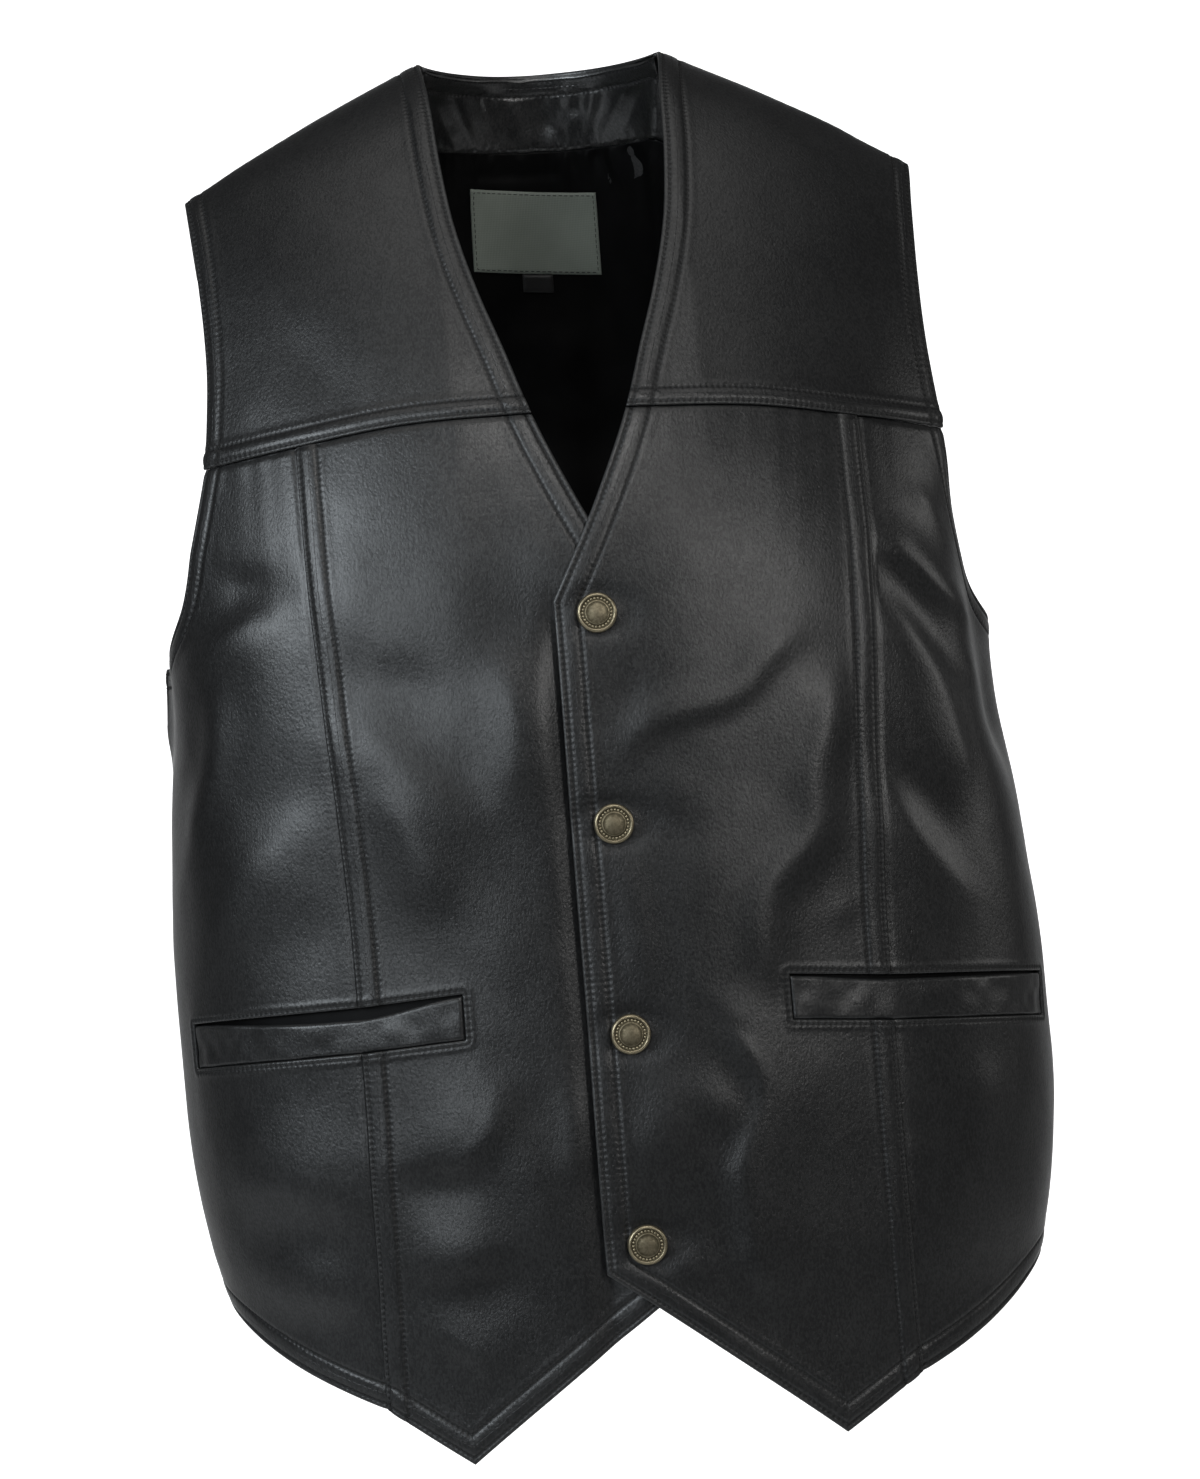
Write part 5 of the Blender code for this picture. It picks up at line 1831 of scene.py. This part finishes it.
def beaded(obj, count, ring_radius, height):
    """Joins a ring of beads to a cap."""
    pieces = [obj]
    for index in range(count):
        turn = 2 * math.pi * index / count
        deselect()
        place = (ring_radius * math.cos(turn), ring_radius * math.sin(turn), height)
        bpy.ops.mesh.primitive_ico_sphere_add(subdivisions=2, radius=BEAD_RADIUS, location=place)
        bead = bpy.context.object
        bead.scale = (1.25, 1.25, 0.8)
        bead.rotation_euler = (0, 0, turn)
        pieces.append(bead)
    deselect()
    for piece in pieces:
        piece.select_set(True)
    bpy.context.view_layer.objects.active = obj
    bpy.ops.object.transform_apply(location=True, rotation=True, scale=True)
    bpy.ops.object.join()
    return obj


def mark_worn(obj, radius, steps):
    """Marks where a round piece is rubbed bright, from its steps and its beads."""
    radii = [step.radius for step in steps][::-1]
    worn = [step.worn for step in steps][::-1]
    layer = obj.data.attributes.new("wear", "FLOAT", "POINT")
    at = np.array([vertex.co for vertex in obj.data.vertices])
    share = np.hypot(at[:, 0], at[:, 1]) / radius
    values = np.interp(share, radii, worn)
    on_bead = np.abs(share - BEAD_RING) < 0.05
    values = np.where(on_bead, 0.9, values)
    layer.data.foreach_set("value", values.astype(np.float32))


def seat_copy(source, name, node, seat, axis, finish):
    """A copy of a snap piece, placed on the leather by its mesh."""
    obj = source.copy()
    obj.data = source.data.copy()
    obj.name = name
    bpy.context.scene.collection.objects.link(obj)
    turn = Vector((0, 0, 1)).rotation_difference(Vector(axis)).to_matrix().to_4x4()
    obj.data.transform(Matrix.Translation(Vector(seat)) @ turn)
    obj.data.materials.clear()
    obj.data.materials.append(finish)
    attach(obj, BODY)
    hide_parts(node)


class VEST_OT_snaps(bpy.types.Operator):
    """Makes the snap caps and posts"""

    bl_idname = "vest.snaps"
    bl_label = "Snaps"

    def execute(self, context):
        sizes, colours = context.scene.vest_sizes, context.scene.vest_colours
        finish = brass_finish("antique_brass_snaps", colours)
        cap = stepped_round("cap_model", CAP_RADIUS, CAP_HEIGHT, CAP_STEPS)
        cap = beaded(cap, sizes.beads, BEAD_RING * CAP_RADIUS, 0.78 * CAP_HEIGHT)
        mark_worn(cap, CAP_RADIUS, CAP_STEPS)
        cap.data.shade_smooth()
        post = stepped_round("post_model", POST_RADIUS, POST_HEIGHT, POST_STEPS)
        mark_worn(post, POST_RADIUS, POST_STEPS)
        post.data.shade_smooth()
        centre = np.zeros(1)
        for index in range(SNAP_COUNT):
            z = np.array([SNAP_TOP_Z - index * SNAP_PITCH])
            base, normal = skin(centre, z)[0], outward(centre, z)[0]
            fold = fold_height(centre, z)[0] + crease_height(centre, z)[0]
            number = index + 1
            seat = base + normal * (SNAP_SEAT + fold + closure_lift(centre, z)[0])
            seat_copy(cap, f"cap_{number}", f"snap_cap_{number}", seat, normal, finish)
            seat = base + normal * (fold - WALL - SNAP_SEAT)
            seat_copy(post, f"post_{number}", f"snap_post_{number}", seat, -normal, finish)
        for model in (cap, post):
            bpy.data.objects.remove(model)
        return {"FINISHED"}


# Camera
CAMERA_PLACE = (-0.1055, -2.1975, -0.3185)
CAMERA_TURN = math.radians(-3.0)
CAMERA_ROLL = math.radians(3.5)
CAMERA_LENS = 115.2
SENSOR = 36.0

# Stage
FLOOR_Z = -1.05
FLOOR_WIDTH = 8
FLOOR_DEPTH = 4.5
WALL_Y = 3.6
WALL_TOP = 3.4
BEND = 0.9
ROOM_GLOW = 0.07

Light = namedtuple("Light", "name place aim width height watts colour")
LIGHTS = (
    Light("key", (-1.78, -1.49, 0.36), (0.0, 0.0, -0.30), 1.2, 0.8, 26.5, (0.87, 0.945, 1.0)),
    Light("low", (-0.90, -2.33, -0.10), (0.0, 0.0, -0.30), 0.6, 0.7, 7.0, (0.89, 0.955, 1.0)),
    Light("fill", (1.07, -2.09, 0.12), (0.0, 0.0, -0.30), 0.42, 0.80, 7.0, (1.0, 0.99, 0.97)),
    Light("right", (2.20, -0.25, 0.10), (0.0, 0.0, -0.30), 0.8, 0.8, 4.0, (1.0, 0.99, 0.97)),
    Light("top", (0.00, -0.80, 1.70), (0.0, -0.1, -0.20), 2.4, 1.6, 10.5, (1.0, 0.99, 0.97)),
    Light("neck", (0.05, -1.55, 0.72), (0.0, 0.09, -0.03), 0.5, 0.35, 5.0, (1.0, 0.99, 0.97)),
)


def pick_edges(floor, test):
    """Selects the floor's edges whose two ends pass a test, for the edit that follows."""
    bpy.ops.object.mode_set(mode="OBJECT")
    for edge in floor.data.edges:
        edge.select = all(test(floor.data.vertices[k].co) for k in edge.vertices)
    bpy.ops.object.mode_set(mode="EDIT")


def make_floor(context):
    """A floor that bends up into a wall."""
    deselect()
    bpy.ops.mesh.primitive_plane_add(size=FLOOR_WIDTH, location=(0, WALL_Y - FLOOR_DEPTH / 2, FLOOR_Z))
    floor = context.object
    floor.name = "floor_and_backdrop"
    floor.scale.y = FLOOR_DEPTH / FLOOR_WIDTH
    bpy.ops.object.transform_apply(location=False, rotation=False, scale=True)
    bpy.ops.object.mode_set(mode="EDIT")
    bpy.ops.mesh.select_all(action="DESELECT")
    pick_edges(floor, lambda end: end.y > 0)
    bpy.ops.mesh.extrude_region_move(TRANSFORM_OT_translate={"value": (0, 0, WALL_TOP)})
    pick_edges(floor, lambda end: end.y > 0 and end.z < WALL_TOP / 2)
    bpy.ops.mesh.bevel(offset=BEND, segments=16, affect="EDGES")
    bpy.ops.object.mode_set(mode="OBJECT")
    bpy.ops.object.transform_apply(location=True, rotation=True, scale=True)
    floor.data.shade_smooth()
    floor.data.materials.append(backdrop_finish("pale_backdrop", context.scene.vest_colours.backdrop))
    return floor


def make_lamp(light):
    data = bpy.data.lights.new(light.name, "AREA")
    data.shape = "RECTANGLE"
    data.size, data.size_y = light.width, light.height
    data.energy = light.watts
    data.color = light.colour
    lamp = bpy.data.objects.new(light.name, data)
    lamp.location = light.place
    aim = Vector(light.aim) - Vector(light.place)
    lamp.rotation_euler = aim.to_track_quat("-Z", "Y").to_euler()
    return lamp


def make_room():
    """A faint white light from all round."""
    world = bpy.data.worlds.new("soft_room")
    world.use_nodes = True
    world.node_tree.nodes["Background"].inputs["Color"].default_value = (1.0, 1.0, 1.0, 1.0)
    world.node_tree.nodes["Background"].inputs["Strength"].default_value = ROOM_GLOW
    return world


def make_camera():
    data = bpy.data.cameras.new("camera")
    data.sensor_fit = "VERTICAL"
    data.sensor_height = SENSOR
    data.lens = CAMERA_LENS
    data.clip_end = 50.0
    camera = bpy.data.objects.new("camera", data)
    back = Vector((math.sin(CAMERA_TURN), -math.cos(CAMERA_TURN), 0.0))
    right = Vector((math.cos(CAMERA_TURN), math.sin(CAMERA_TURN), 0.0))
    up = back.cross(right)
    across = right * math.cos(CAMERA_ROLL) - up * math.sin(CAMERA_ROLL)
    upward = right * math.sin(CAMERA_ROLL) + up * math.cos(CAMERA_ROLL)
    turn = Matrix((across, upward, back)).transposed().to_4x4()
    camera.matrix_world = Matrix.Translation(Vector(CAMERA_PLACE)) @ turn
    return camera


class VEST_OT_stage(bpy.types.Operator):
    """Makes the floor, backdrop, lights and camera"""

    bl_idname = "vest.stage"
    bl_label = "Stage"

    def execute(self, context):
        scene = context.scene
        make_floor(context)
        for light in LIGHTS:
            scene.collection.objects.link(make_lamp(light))
        scene.world = make_room()
        scene.view_settings.view_transform = "Standard"
        scene.camera = make_camera()
        scene.collection.objects.link(scene.camera)
        return {"FINISHED"}


class VEST_PT_sidebar(bpy.types.Panel):
    """Lists the steps that make the vest"""

    bl_idname = "VEST_PT_sidebar"
    bl_label = "Leather vest"
    bl_space_type = "VIEW_3D"
    bl_region_type = "UI"
    bl_category = "Vest"

    def draw(self, context):
        for step in STEPS:
            self.layout.operator(step.bl_idname)
        for group in (context.scene.vest_sizes, context.scene.vest_colours):
            for name in group.__annotations__:
                self.layout.prop(group, name)


STEPS = (
    VEST_OT_stage,
    VEST_OT_fronts,
    VEST_OT_back,
    VEST_OT_neck,
    VEST_OT_pockets,
    VEST_OT_thread,
    VEST_OT_snaps,
)
CLASSES = (VestSizes, VestColours, *STEPS, VEST_PT_sidebar)


def register():
    for kind in CLASSES:
        bpy.utils.register_class(kind)
    bpy.types.Scene.vest_sizes = PointerProperty(type=VestSizes)
    bpy.types.Scene.vest_colours = PointerProperty(type=VestColours)


def unregister():
    del bpy.types.Scene.vest_sizes
    del bpy.types.Scene.vest_colours
    for kind in reversed(CLASSES):
        bpy.utils.unregister_class(kind)


def main():
    register()
    for step in STEPS:
        family, name = step.bl_idname.split(".")
        getattr(getattr(bpy.ops, family), name)()


if __name__ == "__main__":
    main()
